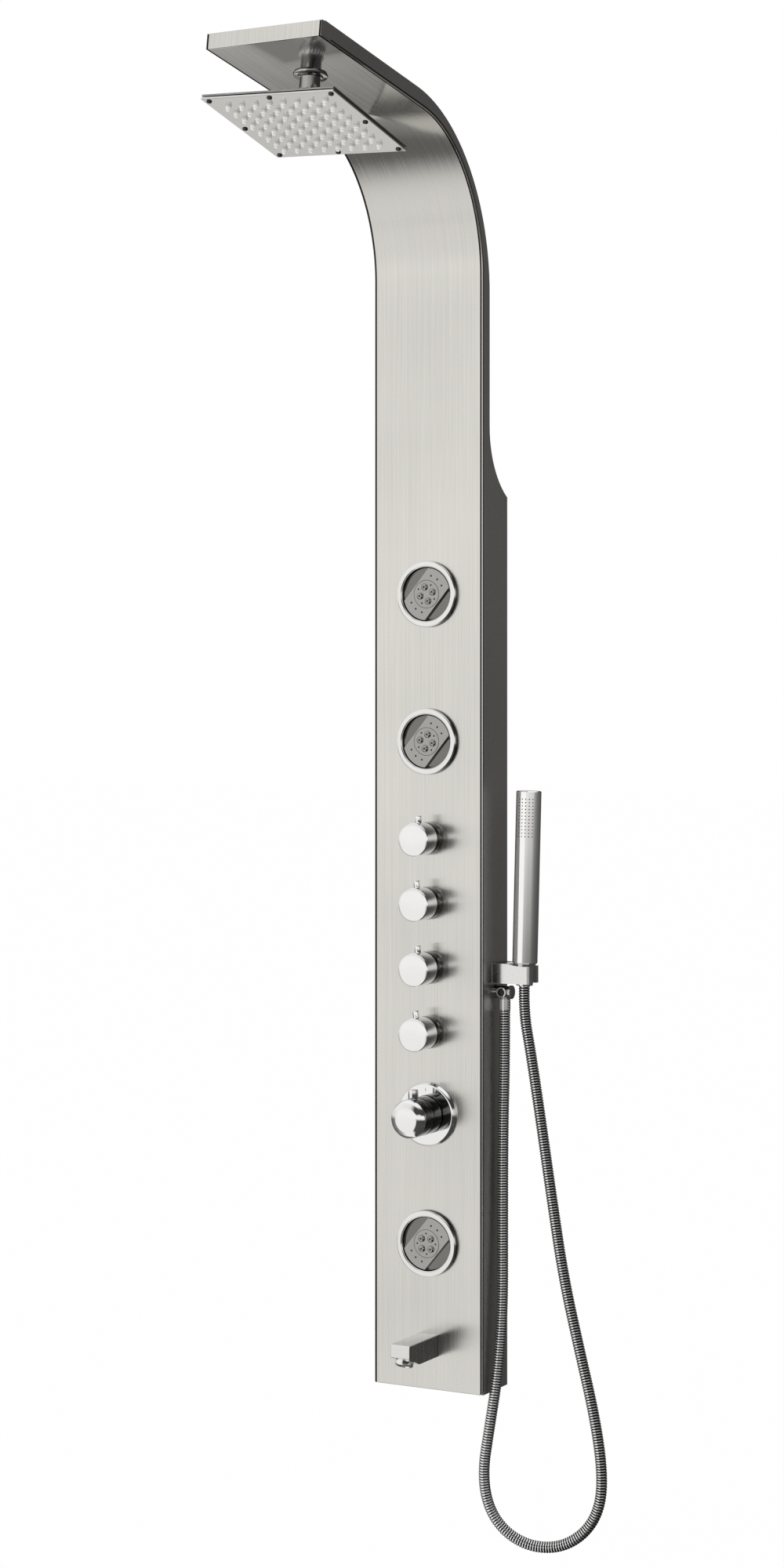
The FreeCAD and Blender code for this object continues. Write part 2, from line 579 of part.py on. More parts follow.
def diverters():
    """Four stop valves in a brass manifold, with their knobs, pins, spindles, collars and nuts.

    The mixer's cartridge and lock nut, and the nut of the arm's nipple, share their groups.
    """
    valves, nuts, collars = [], [], []
    names = ("overhead", "jets", "handset", "spout")
    turns = (0, 5, 2, 8)
    for name, turn, z in zip(names, turns, KNOBS):
        at = (0, "-panel_depth", z)
        pin = lever_pin("knob_pin", "knob_radius + 0.1", 8.6, "knob_pin_at")
        part(f"{name}_knob", group(knob(), pin), at, OUTWARD.multiply(FreeCAD.Rotation(V(0, 0, 1), turn)))
        part(f"{name}_spindle", spindle(-18, 5.2, 29), at, OUTWARD)
        valve = cut(turned(-26, ("valve_radius", "valve_radius", 30.5)), disc("spindle_radius + 0.06", 24,
                                                                              (0, 0, -19)))
        valves.append(put(valve, at, OUTWARD))
        nuts.append(put(cut(hexagon(16, 4, "-gauge - 4"), disc("valve_radius + 0.05", 10, (0, 0, -9))), at,
                        OUTWARD))
        collars.append(put(cut(turned(0, (14.5, 14.5, 3.2), (14.5, 13, 1.4)),
                               disc("valve_radius + 0.05", 8, (0, 0, -1))), at, OUTWARD))
    at = (0, "-panel_depth", "mixer_z")
    mixer_valve = cut(turned(-32, ("mixer_valve", "mixer_valve", 41)), disc("spindle_radius + 0.06", 34, (0,
            0, -24)))
    valves.append(put(mixer_valve, at, OUTWARD))
    part("valve_cartridges", group(*valves))
    mixer_nut = cut(hexagon(25, 5, "-gauge - 5"), disc("mixer_valve + 0.05", 10, (0, 0, -9)))
    nuts.append(put(mixer_nut, at, OUTWARD))
    nipple_nut = cut(hexagon(13, 4.5, "-gauge - 4.5"), disc(8.05, 10, (0, 0, -8)))
    nuts.append(put(nipple_nut, (0, root_y, root_z), ARM_DOWN))
    part("valve_lock_nuts", group(*nuts))
    part("knob_collars", group(*collars))
    low = "knob_a - 3 * knob_pitch - 29"
    block = box(28, 22, "3 * knob_pitch + 58", (-14, -44, low))
    channel = disc(6, "3 * knob_pitch + 48", (0, -33, f"{low} - 1"))
    ports = [disc(3, 20, (-20 if side < 0 else 0, -33, z), ALONG_X) for side, z in zip((-1, -1, 1, -1),
                                                                                       KNOBS)]
    seats = [disc(5, 10, (0, -35, z), OUTWARD) for z in KNOBS]
    spigots = [cut(disc(6, 10, (-24 if side < 0 else 14, -33, z), ALONG_X),
                   disc(3, 12, (-25 if side < 0 else 13, -33, z), ALONG_X))
               for side, z in zip((-1, -1, 1, -1), KNOBS)]
    part("manifold", fuse(cut(block, channel, *ports, *seats), *spigots))


def hexagon(radius, height, z):
    """A six-sided prism by its corner radius."""
    item = doc.addObject("Part::Prism", "Hexagon")
    item.Polygon = 6
    return put(bind(item, Circumradius=radius, Height=height), (0, 0, z))


def mixer():
    """The hot and cold mixer: brass body with two threaded inlets, cartridge, plate, knob and pin."""
    at = (0, "-panel_depth", "mixer_z")
    tube = disc(15, 96, (-48, "pipe_y", "mixer_z"), ALONG_X)
    neck = disc(22, 30.6, (0, "pipe_y", "mixer_z"), OUTWARD)
    inlets, bores = [], [disc(17.55, 30, (0, -38, "mixer_z"), OUTWARD), disc(6, 30, (0, "pipe_y", "mixer_z"))]
    for side in (-1, 1):
        x = f"{side} * inlet_offset"
        top = "mixer_z - 18"
        inlets.append(disc(13, 20, (x, "inlet_y", top)))
        inlets.append(disc("inlet_radius", "inlet_length + 2", (x, "inlet_y", f"{top} - inlet_length")))
        bores.append(disc(7.5, 31, (x, "inlet_y", f"{top} - inlet_length - 1")))
    spigot = disc(9, 24, (0, "pipe_y", "mixer_z"))
    part("mixer_body", cut(fuse(tube, neck, spigot, *inlets), *bores))
    plate = turned(0, ("mixer_plate", "mixer_plate", 3), ("mixer_plate", "mixer_plate - 2.5", 3.5),
                   ("mixer_plate - 2.5", "mixer_plate - 4", 0.5))
    part("mixer_plate", cut(plate, disc("mixer_valve + 0.05", 12, (0, 0, -1))), at, OUTWARD)
    stop = cut(turned(9.2, ("mixer_barrel - 0.6", "mixer_barrel", 0.6), ("mixer_barrel", "mixer_barrel", 20),
                      ("mixer_barrel", "mixer_barrel - 0.6", 0.6)),
               disc(12, 30, (0, 0, 8)))
    part("mixer_stop_ring", stop, at, OUTWARD)
    handle = fuse(turned(31.2, ("mixer_barrel - 0.6", "mixer_barrel", 0.6), ("mixer_barrel", "mixer_barrel",
                                                                             21.2),
                         ("mixer_barrel", "mixer_barrel - 0.6", 0.6), ("mixer_barrel - 0.6",
                                                                       "mixer_barrel - 3.5", 3.2),
                         ("mixer_barrel - 3.5", "mixer_barrel - 9", 2.8), ("mixer_barrel - 9",
                                                                           "mixer_barrel - 17", 1.4)),
                  disc(11.95, 22, (0, 0, 9.4)))
    pin_hole = disc(1.85, 14, (0, "mixer_barrel - 8", 40), FreeCAD.Rotation(V(1, 0, 0), -90))
    handle = cut(handle, disc("spindle_radius + 1.05", 30, (0, 0, 9)), pin_hole)
    part("mixer_knob", group(handle, lever_pin(6.4, "mixer_barrel + 0.1", 11.4, 40)), at, OUTWARD)
    part("mixer_spindle", spindle(-23, 9.2, 38), at, OUTWARD)


# ---------------------------------------------------------------- spout
def spout():
    """The square bath spout: a bar whose nose rises to a slanted face for the aerator."""
    body = doc.addObject("PartDesign::Body", "SpoutBody")
    side = sketch_on(body, "YZ_Plane", "SpoutProfile")
    front, top, low = -S["panel_depth"], -S["spout_top"], -S["spout_top"] - S["spout_height"]
    nose = front - S["spout_reach"]
    polygon(side, [
        ((front, "-panel_depth"), (top, "-spout_top")),
        ((nose, "-panel_depth - spout_reach"), (top, "-spout_top")),
        ((nose, "-panel_depth - spout_reach"), (low + 11.5, "11.5 - spout_top - spout_height")),
        ((front - 48, "-panel_depth - 48"), (low, "-spout_top - spout_height")),
        ((front, "-panel_depth"), (low, "-spout_top - spout_height"))])
    pad(body, side, "spout_width", both=True)
    rise = math.degrees(math.atan2(11.5, S["spout_reach"] - 48))
    tilt = FreeCAD.Rotation(V(1, 0, 0), 180 - rise)
    mouth = ("-panel_depth - spout_reach + 13", "5.6 - spout_top - spout_height")
    water = disc(7, 80, (0, "-panel_depth + 1", "-spout_top - spout_height / 2"), OUTWARD)
    water.setExpression("Height", linked("spout_reach - 12"))
    drop = disc(9, 12, (0, mouth[0], f"{mouth[1]} + 6"), tilt)
    tail = cut(disc(8, 14, (0, "12 - panel_depth", "-spout_top - spout_height / 2"), OUTWARD),
               disc(7, 20, (0, "14 - panel_depth", "-spout_top - spout_height / 2"), OUTWARD))
    part("spout", cut(fuse(body, tail), water, drop))
    rim = turned(0, ("aerator_radius", "aerator_radius", 5), ("aerator_radius", "aerator_radius - 1", 1.6))
    mesh = around(lambda x, y: disc(0.9, 4, (x, y, 4)), 8, 5.5) + around(lambda x, y: disc(0.9, 4, (x, y,
            4)), 4, 2.4)
    part("aerator", cut(rim, disc(9, 4.4, (0, 0, -1)), *mesh), (0, *mouth), tilt)


# ---------------------------------------------------------------- overhead shower
def overhead():
    """The pipe stub, swivel nut and ball under the arm, and the square head that hangs on the ball."""
    root = (0, root_y, root_z)
    part("arm_nipple", cut(turned(-6, (8, 8, 6), (21, 20.2, 2.4), (16, 14.5, 2.2), (12.5, 12.5, 16)),
                           disc(5, 40, (0, 0, -8))), root, ARM_DOWN)
    port = OUTWARD
    shell = fuse(disc(9.5, 10.5, (0, 0, -17)), disc(5, 16, (0, 0, -11.3), port))
    part("arm_elbow", cut(shell, disc(4.5, 7.5, (0, 0, -14)), disc(4.05, 10, (0, -7.9, -11.3), port),
                          disc(2.8, 12, (0, 0, -11.3), port)), root, ARM_DOWN)
    nut = cut(turned(20.7, (14, 14.6, 0.6), (14.6, 14.6, 14), (14.6, 11.2, 4.4)),
              turned(20, (5, 5, 2.4), (12.3, 12.3, 15.6), (8.6, 8.6, 3)))
    part("swivel_nut", nut, root, ARM_DOWN)
    seat = cut(turned("ball_drop - 6", (12, 12, 10.6)), ball("ball_radius + 0.3", "ball_drop"))
    part("swivel_seat", seat, root, ARM_DOWN)

    centre = (0, f"({root_y} - ball_drop * sin(arm_angle))", f"({root_z} - ball_drop * cos(arm_angle))")
    hang = ARM_DOWN.multiply(FreeCAD.Rotation(V(1, 0, 0), -4.04)).multiply(FreeCAD.Rotation(V(0, 1, 0), -2.7))
    face = "(head_drop - ball_drop)"
    top = f"({face} - 2 * head_plate - mat_gauge)"

    stem = fuse(ball("ball_radius"), disc(6, f"{top} - 5", (0, 0, 4)), disc(7.9, "head_plate", (0, 0, top)),
                turned(f"{top} - 9", (11, 15.5, 5), (15.5, 15.5, 1.5), (19, 19, 2.5)))
    part("head_stem", cut(stem, disc(3.5, 60, (0, 0, -12))), centre, hang)

    body = doc.addObject("PartDesign::Body", "HeadTopPlate")
    square = sketch_on(body, "XY_Plane", "TopOutline", top)
    centred_square(square, S["head_side"] - 0.6, "head_side - 0.6")
    pad(body, square, "head_plate")
    holes = sketch_on(body, "XY_Plane", "TopHoles", top)
    zero = (0.0, "0 * gauge")
    circle_row(holes, [(zero, zero)], 8.0, "8")
    pocket_through(body, holes)
    screw_holes(body, top)
    part("head_top_plate", body, centre, hang)

    body = doc.addObject("PartDesign::Body", "HeadFacePlate")
    low = f"({face} - head_plate)"
    square = sketch_on(body, "XY_Plane", "FaceOutline", low)
    centred_square(square, S["head_side"], "head_side")
    pad(body, square, "head_plate")
    nozzle_rows(body, low, "nozzle_collar + 0.12", S["nozzle_collar"] + 0.12)
    screw_holes(body, low)
    part("head_face_plate", body, centre, hang)

    body = doc.addObject("PartDesign::Body", "NozzleMat")
    square = sketch_on(body, "XY_Plane", "MatOutline", f"{low} - mat_gauge")
    centred_square(square, 150.0, "head_side - 30")
    pad(body, square, "mat_gauge")
    nozzle_rows(body, low, "nozzle_collar", S["nozzle_collar"], "head_plate + 2.6")
    nozzle_rows(body, f"({low} + head_plate + 2.6)", "nozzle_tip", S["nozzle_tip"], "3.4")
    part("nozzle_mat", body, centre, hang)

    spots = [(i, j) for i in (-1, 0, 1) for j in (-1, 0, 1) if (i, j) != (0, 0)]
    screws = [fuse(disc(1.5, f"2 * head_plate + mat_gauge - 0.2", (f"{i} * head_screw_span",
                                                                   f"{j} * head_screw_span", f"{top} + 0.2")),
                   cone(3.1, 2.0, 1.8, (f"{i} * head_screw_span", f"{j} * head_screw_span", face)))
              for i, j in spots]
    part("head_screws", group(*screws), centre, hang)


def nozzle_rows(body, lift, formula, radius, height=None):
    """Eight rows of eight holes, or of studs where a height is given."""
    row = sketch_on(body, "XY_Plane", "NozzleRow", lift)
    pitch = S["nozzle_pitch"]
    places = [((-3.5 * pitch + i * pitch, f"({i} - 3.5) * nozzle_pitch"), (-3.5 * pitch,
                                                                           "-3.5 * nozzle_pitch"))
              for i in range(8)]
    circle_row(row, places, radius, formula)
    feature = pad(body, row, height) if height else pocket_through(body, row)
    repeat(body, feature, row, 8, "7 * nozzle_pitch")


def screw_holes(body, lift):
    """Eight screw holes round a head plate's edge."""
    sketch = sketch_on(body, "XY_Plane", "ScrewHoles", lift)
    span = S["head_screw_span"]
    places = [((i * span, f"{i} * head_screw_span"), (j * span, f"{j} * head_screw_span"))
              for i in (-1, 0, 1) for j in (-1, 0, 1) if (i, j) != (0, 0)]
    circle_row(sketch, places, 1.6, "1.6")
    pocket_through(body, sketch)


# ---------------------------------------------------------------- hand shower, holder and outlet
LEAN = FreeCAD.Rotation(V(0, 1, 0), S["handset_lean"])


def spray_ways(radius):
    """Cutters for the 5 by 12 spray holes, each square to the tube's wall."""
    ways = []
    for column in range(-2, 3):
        heading = FreeCAD.Rotation(V(0, 0, 1), 16.5 * column).multiply(OUTWARD)
        ways += [disc(radius, 18, (0, 0, f"handset_length - 10 - {row} * 4.3"), heading) for row in range(12)]
    return ways


def hand_shower():
    """The stick hand shower with its spray insert and cap, leaning in the fork of its holder."""
    seat = ("handset_x", "handset_y", "handset_z")
    spray = LEAN.multiply(FreeCAD.Rotation(V(0, 0, 1), 12.5))
    tube = turned(0.2, ("handset_radius - 1", "handset_radius", 1.2),
                  ("handset_radius", "handset_radius", "handset_length - 5.4"))
    bore = disc("handset_radius - 1.4", "handset_length", (0, 0, 8))
    part("hand_shower_body", cut(tube, bore, *spray_ways(0.75)), seat, spray)
    insert = cut(disc("handset_radius - 1.45", 60, (0, 0, "handset_length - 65")),
                 disc("handset_radius - 3", 62, (0, 0, "handset_length - 66")),
                 box(40, 40, 62, (-20, -8, "handset_length - 66")))
    part("hand_shower_spray", cut(insert, *spray_ways(0.45)), seat, spray)
    part("hand_shower_cap", turned("handset_length - 4", ("handset_radius", "handset_radius", 3),
                                   ("handset_radius", "handset_radius - 1", 1)),
         seat, spray)
    part("hand_shower_nut", cut(turned(-27.5, (10.6, 14.0, 27.5)), disc(4.2, 40, (0, 0, -30))), seat, LEAN)


def rounded_end(y, reach, outward):
    """A cutter that rounds a vertical outer corner of the holder at (reach, y)."""
    corner = box("holder_round + 1", "holder_round + 1", "holder_height + 20",
                 (f"{reach} - holder_round", f"{y} - 1" if outward < 0 else f"{y} - holder_round",
                  "holder_low - 10"))
    post = disc("holder_round", "holder_height + 30",
                (f"{reach} - holder_round", f"{y} - ({outward} * holder_round)", "holder_low - 15"))
    return cut(corner, post)


def holder():
    """The block on the panel's side: a fork with a conical socket, open to the right."""
    block = box(f"holder_reach - {HALF}", "holder_back - holder_front", "holder_height",
                (HALF, "holder_front", "holder_low"))
    seat = ("handset_x", "handset_y", "handset_z")
    socket = put(turned(-27.5, (10.95, 14.35, 27.5), (14.35, 16, 6)), seat, LEAN)
    mouth = box(40, 20.4, 40, ("handset_x", "handset_y - 10.2", "holder_low - 5"))
    short = box(10, 30, 40, ("holder_reach - 4", "handset_y", "holder_low - 5"))
    dish = disc(120, 60, (128, "holder_back + 10", "holder_low + holder_height + 116.5"), OUTWARD)
    ends = [rounded_end("holder_front", "holder_reach", -1), rounded_end("holder_back", "holder_reach - 4",
                                                                         1)]
    part("handset_holder", cut(block, socket, mouth, short, dish, *ends))


def hose_outlet():
    """The elbow below the holder, its nipple through the side and the hose's first nut."""
    bar = disc(7.6, 20.5, (f"{HALF} + 2", "outlet_y", "outlet_z"), ALONG_X)
    rim = disc(8.6, 2, (HALF, "outlet_y", "outlet_z"), ALONG_X)
    end = disc(8.6, 2.6, (f"{HALF} + 19.9", "outlet_y", "outlet_z"), ALONG_X)
    nipple = disc(6, 20, (f"{HALF} - 20", "outlet_y", "outlet_z"), ALONG_X)
    boss = disc(6.6, 9.6, ("outlet_x - 0.6", "outlet_y", "outlet_z"), OUTWARD)
    socket = disc(4.8, 3, ("outlet_x - 0.6", "outlet_y - 7", "outlet_z"), OUTWARD)
    port = disc(6, 11, ("outlet_x", "outlet_y", "outlet_z - 11"))
    waterway = disc(3.5, 36, (f"{HALF} - 21", "outlet_y", "outlet_z"), ALONG_X)
    drop = disc(3.5, 14, ("outlet_x", "outlet_y", "outlet_z - 12"))
    part("hose_outlet", cut(fuse(bar, rim, end, nipple, port, boss), waterway, drop, socket))
    nut = turned(0, (7, 7.2, 1.5), (7.2, 7.2, "outlet_z - 9 - hose_top - 1.5"))
    part("hose_nut", cut(put(nut, ("outlet_x", "outlet_y", "hose_top")), disc(4.2, 30, ("outlet_x",
            "outlet_y", "hose_top - 1")),
                         disc(6.05, 12, ("outlet_x", "outlet_y", "outlet_z - 11"))))


# ---------------------------------------------------------------- hose and pipes
class Route:
    """A path of straight runs joined by tangent arcs, measured along its length."""

    def __init__(self, points, radii=None):
        self.pieces, self.edges, self.radii = [], [], []
        points = [V(*p) for p in points]
        start = points[0]
        for i in range(1, len(points) - 1):
            back, ahead = points[i] - points[i - 1], points[i + 1] - points[i]
            shorter = min(back.Length, ahead.Length)
            turn = back.getAngle(ahead)
            back.normalize()
            ahead.normalize()
            radius = radii[i - 1] if radii else 0.45 * shorter / math.tan(turn / 2)
            reach = radius * math.tan(turn / 2)
            first, last = points[i] - back * reach, points[i] + ahead * reach
            inward = (ahead - back).normalize()
            centre = points[i] + inward * (radius / math.cos(turn / 2))
            middle = centre - inward * radius
            self.add_line(start, first)
            self.edges.append(Part.Arc(first, middle, last).toShape())
            self.pieces.append((radius * turn, first, back, centre))
            self.radii.append(radius)
            start = last
        self.add_line(start, points[-1])
        self.length = sum(piece[0] for piece in self.pieces)

    def add_line(self, start, end):
        step = end - start
        self.edges.append(Part.LineSegment(start, end).toShape())
        self.pieces.append((step.Length, start, V(step).normalize(), None))

    def station(self, distance):
        """The point and direction at a distance along the path."""
        for length, first, heading, centre in self.pieces:
            if distance <= length or (length, first, heading, centre) == self.pieces[-1]:
                break
            distance -= length
        if centre is None:
            return first + heading * distance, heading
        spoke = first - centre
        angle = distance / spoke.Length
        outward = V(spoke).normalize()
        point = centre + (outward * math.cos(angle) + heading * math.sin(angle)) * spoke.Length
        return point, heading * math.cos(angle) - outward * math.sin(angle)

    def ring(self, distance, radius):
        """A circle round the path, its seam on a steady side."""
        point, heading = self.station(distance)
        steady = (V(0, 1, 0) - heading * heading.y).normalize()
        circle = Part.Circle(point, heading, radius)
        circle.XAxis = steady
        return Part.Wire([circle.toShape()])


# the hose hangs from the outlet, loops forward under the panel and rises to the hand shower
HOSE_ROUTE = [
    (89.5, -31.5, -589), (89.5, -31.5, -650), (87.5, -32.5, -745), (88.2, -34.5, -865), (91, -40, -965),
    (89, -50, -1045), (82.5, -61, -1112), (76, -67, -1167), (83.5, -66.5, -1210.5), (106.5, -62, -1241),
    (140.5, -54, -1256), (177.5, -45, -1252.5), (207.5, -37, -1230.5), (223, -31, -1196.5), (222.5, -27,
                                                                                             -1150),
    (210, -24.5, -1085), (190, -23.5, -1010), (168, -24, -920), (151, -23.2, -820), (135.5, -23.8, -720),
    (122, -23.3, -640), (112.39, -23.7, -590), (113.28, -23.7, -555.99),
]


def ribbed_hose():
    """A metal hose: ribs as ruled bands between rings of two sizes, round a plain bore."""
    route = Route(HOSE_ROUTE)
    print("hose arc radii", [round(r) for r in route.radii], "length", round(route.length, 1))
    outer, bore, count = S["hose_radius"], S["hose_bore"], int(S["hose_ribs"])
    plain = 2 * outer
    pitch = (route.length - 2 * plain) / count
    groove = outer - 0.8
    rings = [route.ring(0, groove)]
    for i in range(count):
        start = plain + i * pitch
        for share, radius in ((0.06, groove), (0.22, outer), (0.78, outer), (0.94, groove)):
            rings.append(route.ring(start + share * pitch, radius))
    rings.append(route.ring(route.length, groove))
    skin = Part.makeLoft(rings, False, True)
    inner = [route.ring(route.length * i / count, bore) for i in range(count + 1)]
    lining = Part.makeLoft(inner, False, True)
    ends = [Part.Face(rings[i]).cut(Part.Face(inner[i])).Faces[0] for i in (0, -1)]
    shell = Part.Shell(skin.Faces + lining.Faces + ends)
    shell.sewShape()
    solid = Part.Solid(shell)
    if solid.Volume < 0:
        solid.reverse()
    expected = math.pi * (outer ** 2 * 0.72 + groove ** 2 * 0.28 - bore ** 2) * route.length
    print("hose volume", round(solid.Volume), "expected about", round(expected))
    return solid


def tube(points, radius, bore, radii=None):
    """A plain tube along a route."""
    route = Route(points, radii)
    path = Part.Wire(route.edges)
    start, heading = route.station(0)
    shapes = []
    for size in (radius, bore):
        profile = Part.Wire([Part.Circle(start, heading, size).toShape()])
        shapes.append(path.makePipeShell([profile], True, False))
    solid = shapes[0].cut(shapes[1]).Solids[0]
    expected = math.pi * (radius ** 2 - bore ** 2) * route.length
    assert abs(solid.Volume / expected - 1) < 0.02, (solid.Volume, expected)
    return solid


def feature(shape):
    """An object whose shape is made along a route."""
    item = doc.addObject("Part::Feature", "Tube")
    item.Shape = shape
    return item


def rods(radius, bore, *runs):
    """A tree of straight pipes with a block at each joint: each run is (length, place, turn)."""
    side = 2 * radius + 2
    blocks = [put(box(side, side, side), tuple(f"{v} - {side / 2}" for v in at)) for length, at,
              turn in runs[1:]]
    solid = fuse(*[disc(radius, length, at, turn) for length, at, turn in runs], *blocks)
    hollow = fuse(*[disc(bore, length, at, turn) for length, at, turn in runs])
    return cut(solid, hollow)


def pipes():
    """The water pipes inside the case, from the mixer and the manifold to each outlet."""
    y, top, pitch = S["pipe_y"], S["knob_a"], S["knob_pitch"]
    mean_radius = (S["front_radius"] + S["back_radius"]) / 2
    middle = S["arm_depth"] / 2 - S["panel_depth"]
    half_turn = (math.pi / 2 - math.radians(S["arm_angle"])) / 2
    bend = S["bend_z"] - (S["back_radius"] - S["front_radius"] - S["arm_depth"]) * (1 - SIN) / COS / 2
    corner = V(0, middle, bend + mean_radius * math.tan(half_turn))
    tip = V(0, -S["panel_depth"] - S["front_radius"] * (1 - SIN) - S["arm_length"] * COS,
            S["bend_z"] + S["front_radius"] * COS + S["arm_length"] * SIN)
    elbow = tip + V(0, COS, -SIN) * (S["head_from_tip"] + 8) + V(0, SIN, COS) * 11.3
    part("overhead_pipe", feature(tube(
        [(-24, y, top), (-48, y, top), (-48, y, -10), (0, middle, 120), corner, elbow],
        4, 2.8, [14, 160, 160, mean_radius])))
    left, right = FreeCAD.Rotation(V(0, 1, 0), -90), ALONG_X
    feed = "knob_a - knob_pitch"
    jet_y = "16 - panel_depth"
    jets = rods(
        4, 2.8, ("36", (-24, "pipe_y", feed), left), (f"pipe_y - ({jet_y})", (-60, "pipe_y", feed), OUTWARD),
        ("jet_a - jet_c", (-60, jet_y, "jet_c"), UPRIGHT), ("14", (-60, jet_y, "jet_a"), right),
        ("14", (-60, jet_y, "jet_b"), right), ("14", (-60, jet_y, "jet_c"), right))
    hand_shower_pipe = feature(tube([(24, y, top - 2 * pitch), (42, y, top - 2 * pitch),
                                      (42, S["outlet_y"], S["outlet_z"]), (57.5, S["outlet_y"],
                                                                           S["outlet_z"])],
                                    4, 2.8, [12, 12]))
    spout_z = -S["spout_top"] - S["spout_height"] / 2
    low_y = y - 13
    spout_pipe = feature(tube([(-24, y, top - 3 * pitch), (-64, y, top - 3 * pitch), (-64, low_y, spout_z),
                               (0, low_y, spout_z), (0, 12 - S["panel_depth"], spout_z)], 4, 2.8, [14, 16,
                                                                                                   8]))
    part("outlet_pipes", group(jets, hand_shower_pipe, spout_pipe))
    riser = "knob_a - 3 * knob_pitch - 29 - (mixer_z + 24)"
    part("riser_pipe", cut(disc(7, riser, (0, "pipe_y", "mixer_z + 24")), disc(5, 80, (0, "pipe_y",
                                                                                       "mixer_z + 10"))))


# ---------------------------------------------------------------- build, check and export
def export():
    """Recompute, check every object and write one file per sub-part."""
    doc.recompute()
    for item in doc.Objects:
        bad = [state for state in item.State if state in ("Invalid", "Error")]
        if bad:
            raise RuntimeError(f"{item.Name} {item.Label}: {bad} {item.getStatusString()}")
    os.makedirs("parts", exist_ok=True)
    for label, item in PARTS.items():
        shape = item.Shape
        if shape.isNull() or not shape.isValid():
            raise RuntimeError(f"{label}: bad shape")
        if not all(solid.Volume > 0 for solid in shape.Solids) or not shape.Solids:
            raise RuntimeError(f"{label}: no solid")
        shape.exportStep(os.path.join("parts", f"{label}.step"))
    print(len(PARTS), "sub-parts")


steel_case()
part("wall_bracket_upper", wall_bracket("UpperBracket"))
part("wall_bracket_lower", wall_bracket("LowerBracket"), (0, 0, "lower_bracket"))
body_jets()
diverters()
mixer()
spout()
overhead()
hand_shower()
holder()
hose_outlet()
part("hose", feature(ribbed_hose()))
pipes()
export()
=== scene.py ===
"""Looks of a wall-hung steel shower panel: its sheets, fittings, hose, finishes and the studio round it."""
import logging
import math
from dataclasses import dataclass
from enum import Enum

import bmesh
import bpy
import numpy as np
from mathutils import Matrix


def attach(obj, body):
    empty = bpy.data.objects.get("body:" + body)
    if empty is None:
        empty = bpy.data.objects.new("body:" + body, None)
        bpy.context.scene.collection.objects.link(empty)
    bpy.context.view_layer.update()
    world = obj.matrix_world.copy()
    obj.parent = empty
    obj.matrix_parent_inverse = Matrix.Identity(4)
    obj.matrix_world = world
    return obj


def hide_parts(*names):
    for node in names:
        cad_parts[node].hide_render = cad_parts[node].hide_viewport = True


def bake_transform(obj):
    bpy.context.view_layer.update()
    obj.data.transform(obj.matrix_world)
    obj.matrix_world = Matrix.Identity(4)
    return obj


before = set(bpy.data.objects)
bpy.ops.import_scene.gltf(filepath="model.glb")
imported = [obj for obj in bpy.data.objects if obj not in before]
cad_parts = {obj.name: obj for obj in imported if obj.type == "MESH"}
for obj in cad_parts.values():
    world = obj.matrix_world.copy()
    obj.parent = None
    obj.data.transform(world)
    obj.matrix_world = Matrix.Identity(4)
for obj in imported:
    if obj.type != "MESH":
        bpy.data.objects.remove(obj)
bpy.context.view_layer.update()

LOG = logging.getLogger("shower_panel")
Array = np.ndarray
Socket = bpy.types.NodeSocket
MM = 0.001


# ---------------- placing
def shift(x: float = 0.0, y: float = 0.0, z: float = 0.0) -> Array:
    """A 4 by 4 move, in millimetres."""
    matrix = np.eye(4)
    matrix[:3, 3] = (x, y, z)
    return matrix


def turn(axis: str, degrees: float) -> Array:
    """A turn about one axis.

    Args:
        axis: The axis: x, y or z.
        degrees: The angle, anticlockwise as seen from the axis's end.

    Returns:
        The 4 by 4 matrix.
    """
    c, s = math.cos(math.radians(degrees)), math.sin(math.radians(degrees))
    i, j = {"x": (1, 2), "y": (2, 0), "z": (0, 1)}[axis]
    matrix = np.eye(4)
    matrix[i, i] = matrix[j, j] = c
    matrix[i, j], matrix[j, i] = -s, s
    return matrix


OUTWARD = turn("x", 90)
ARM_ANGLE = 8.8
ARM_DOWN = turn("x", 180 - ARM_ANGLE)
SHEET_FACE = -70.0
JET_LEVELS = (-61.0, -248.0, -885.0)
KNOB_TOP, KNOB_PITCH = -371.0, 82.0


def on_sheet(level: float) -> Array:
    """The place of a fitting on the front sheet, at a height in millimetres: its z axis points outwards."""
    return shift(0, SHEET_FACE, level) @ OUTWARD


# ---------------- surfaces
@dataclass
class Surface:
    """Points in millimetres, the faces between them, and the number of their finish, or one for each face."""

    points: Array
    faces: list[list[int]]
    finish: int | Array = 0

    def placed(self, matrix: Array) -> "Surface":
        """The same surface, moved and turned by a 4 by 4 matrix."""
        return Surface(self.points @ matrix[:3, :3].T + matrix[:3, 3], self.faces, self.finish)


def lattice(rows: int, columns: int, round_rows: bool = False, round_columns: bool = False) -> Array:
    """The four-sided faces of a grid of points, in which point (r, c) has the number r * columns + c.

    Args:
        rows: How many rows of points there are.
        columns: How many points a row has.
        round_rows: Whether the last row joins the first.
        round_columns: Whether a row closes on itself.

    Returns:
        The point numbers of the faces (n, 4).
    """
    r = np.arange(rows if round_rows else rows - 1)[:, None]
    c = np.arange(columns if round_columns else columns - 1)[None, :]
    after, beside = (r + 1) % rows, (c + 1) % columns
    return np.stack([r * columns + c, r * columns + beside, after * columns + beside, after * columns + c],
                    -1).reshape(-1, 4)


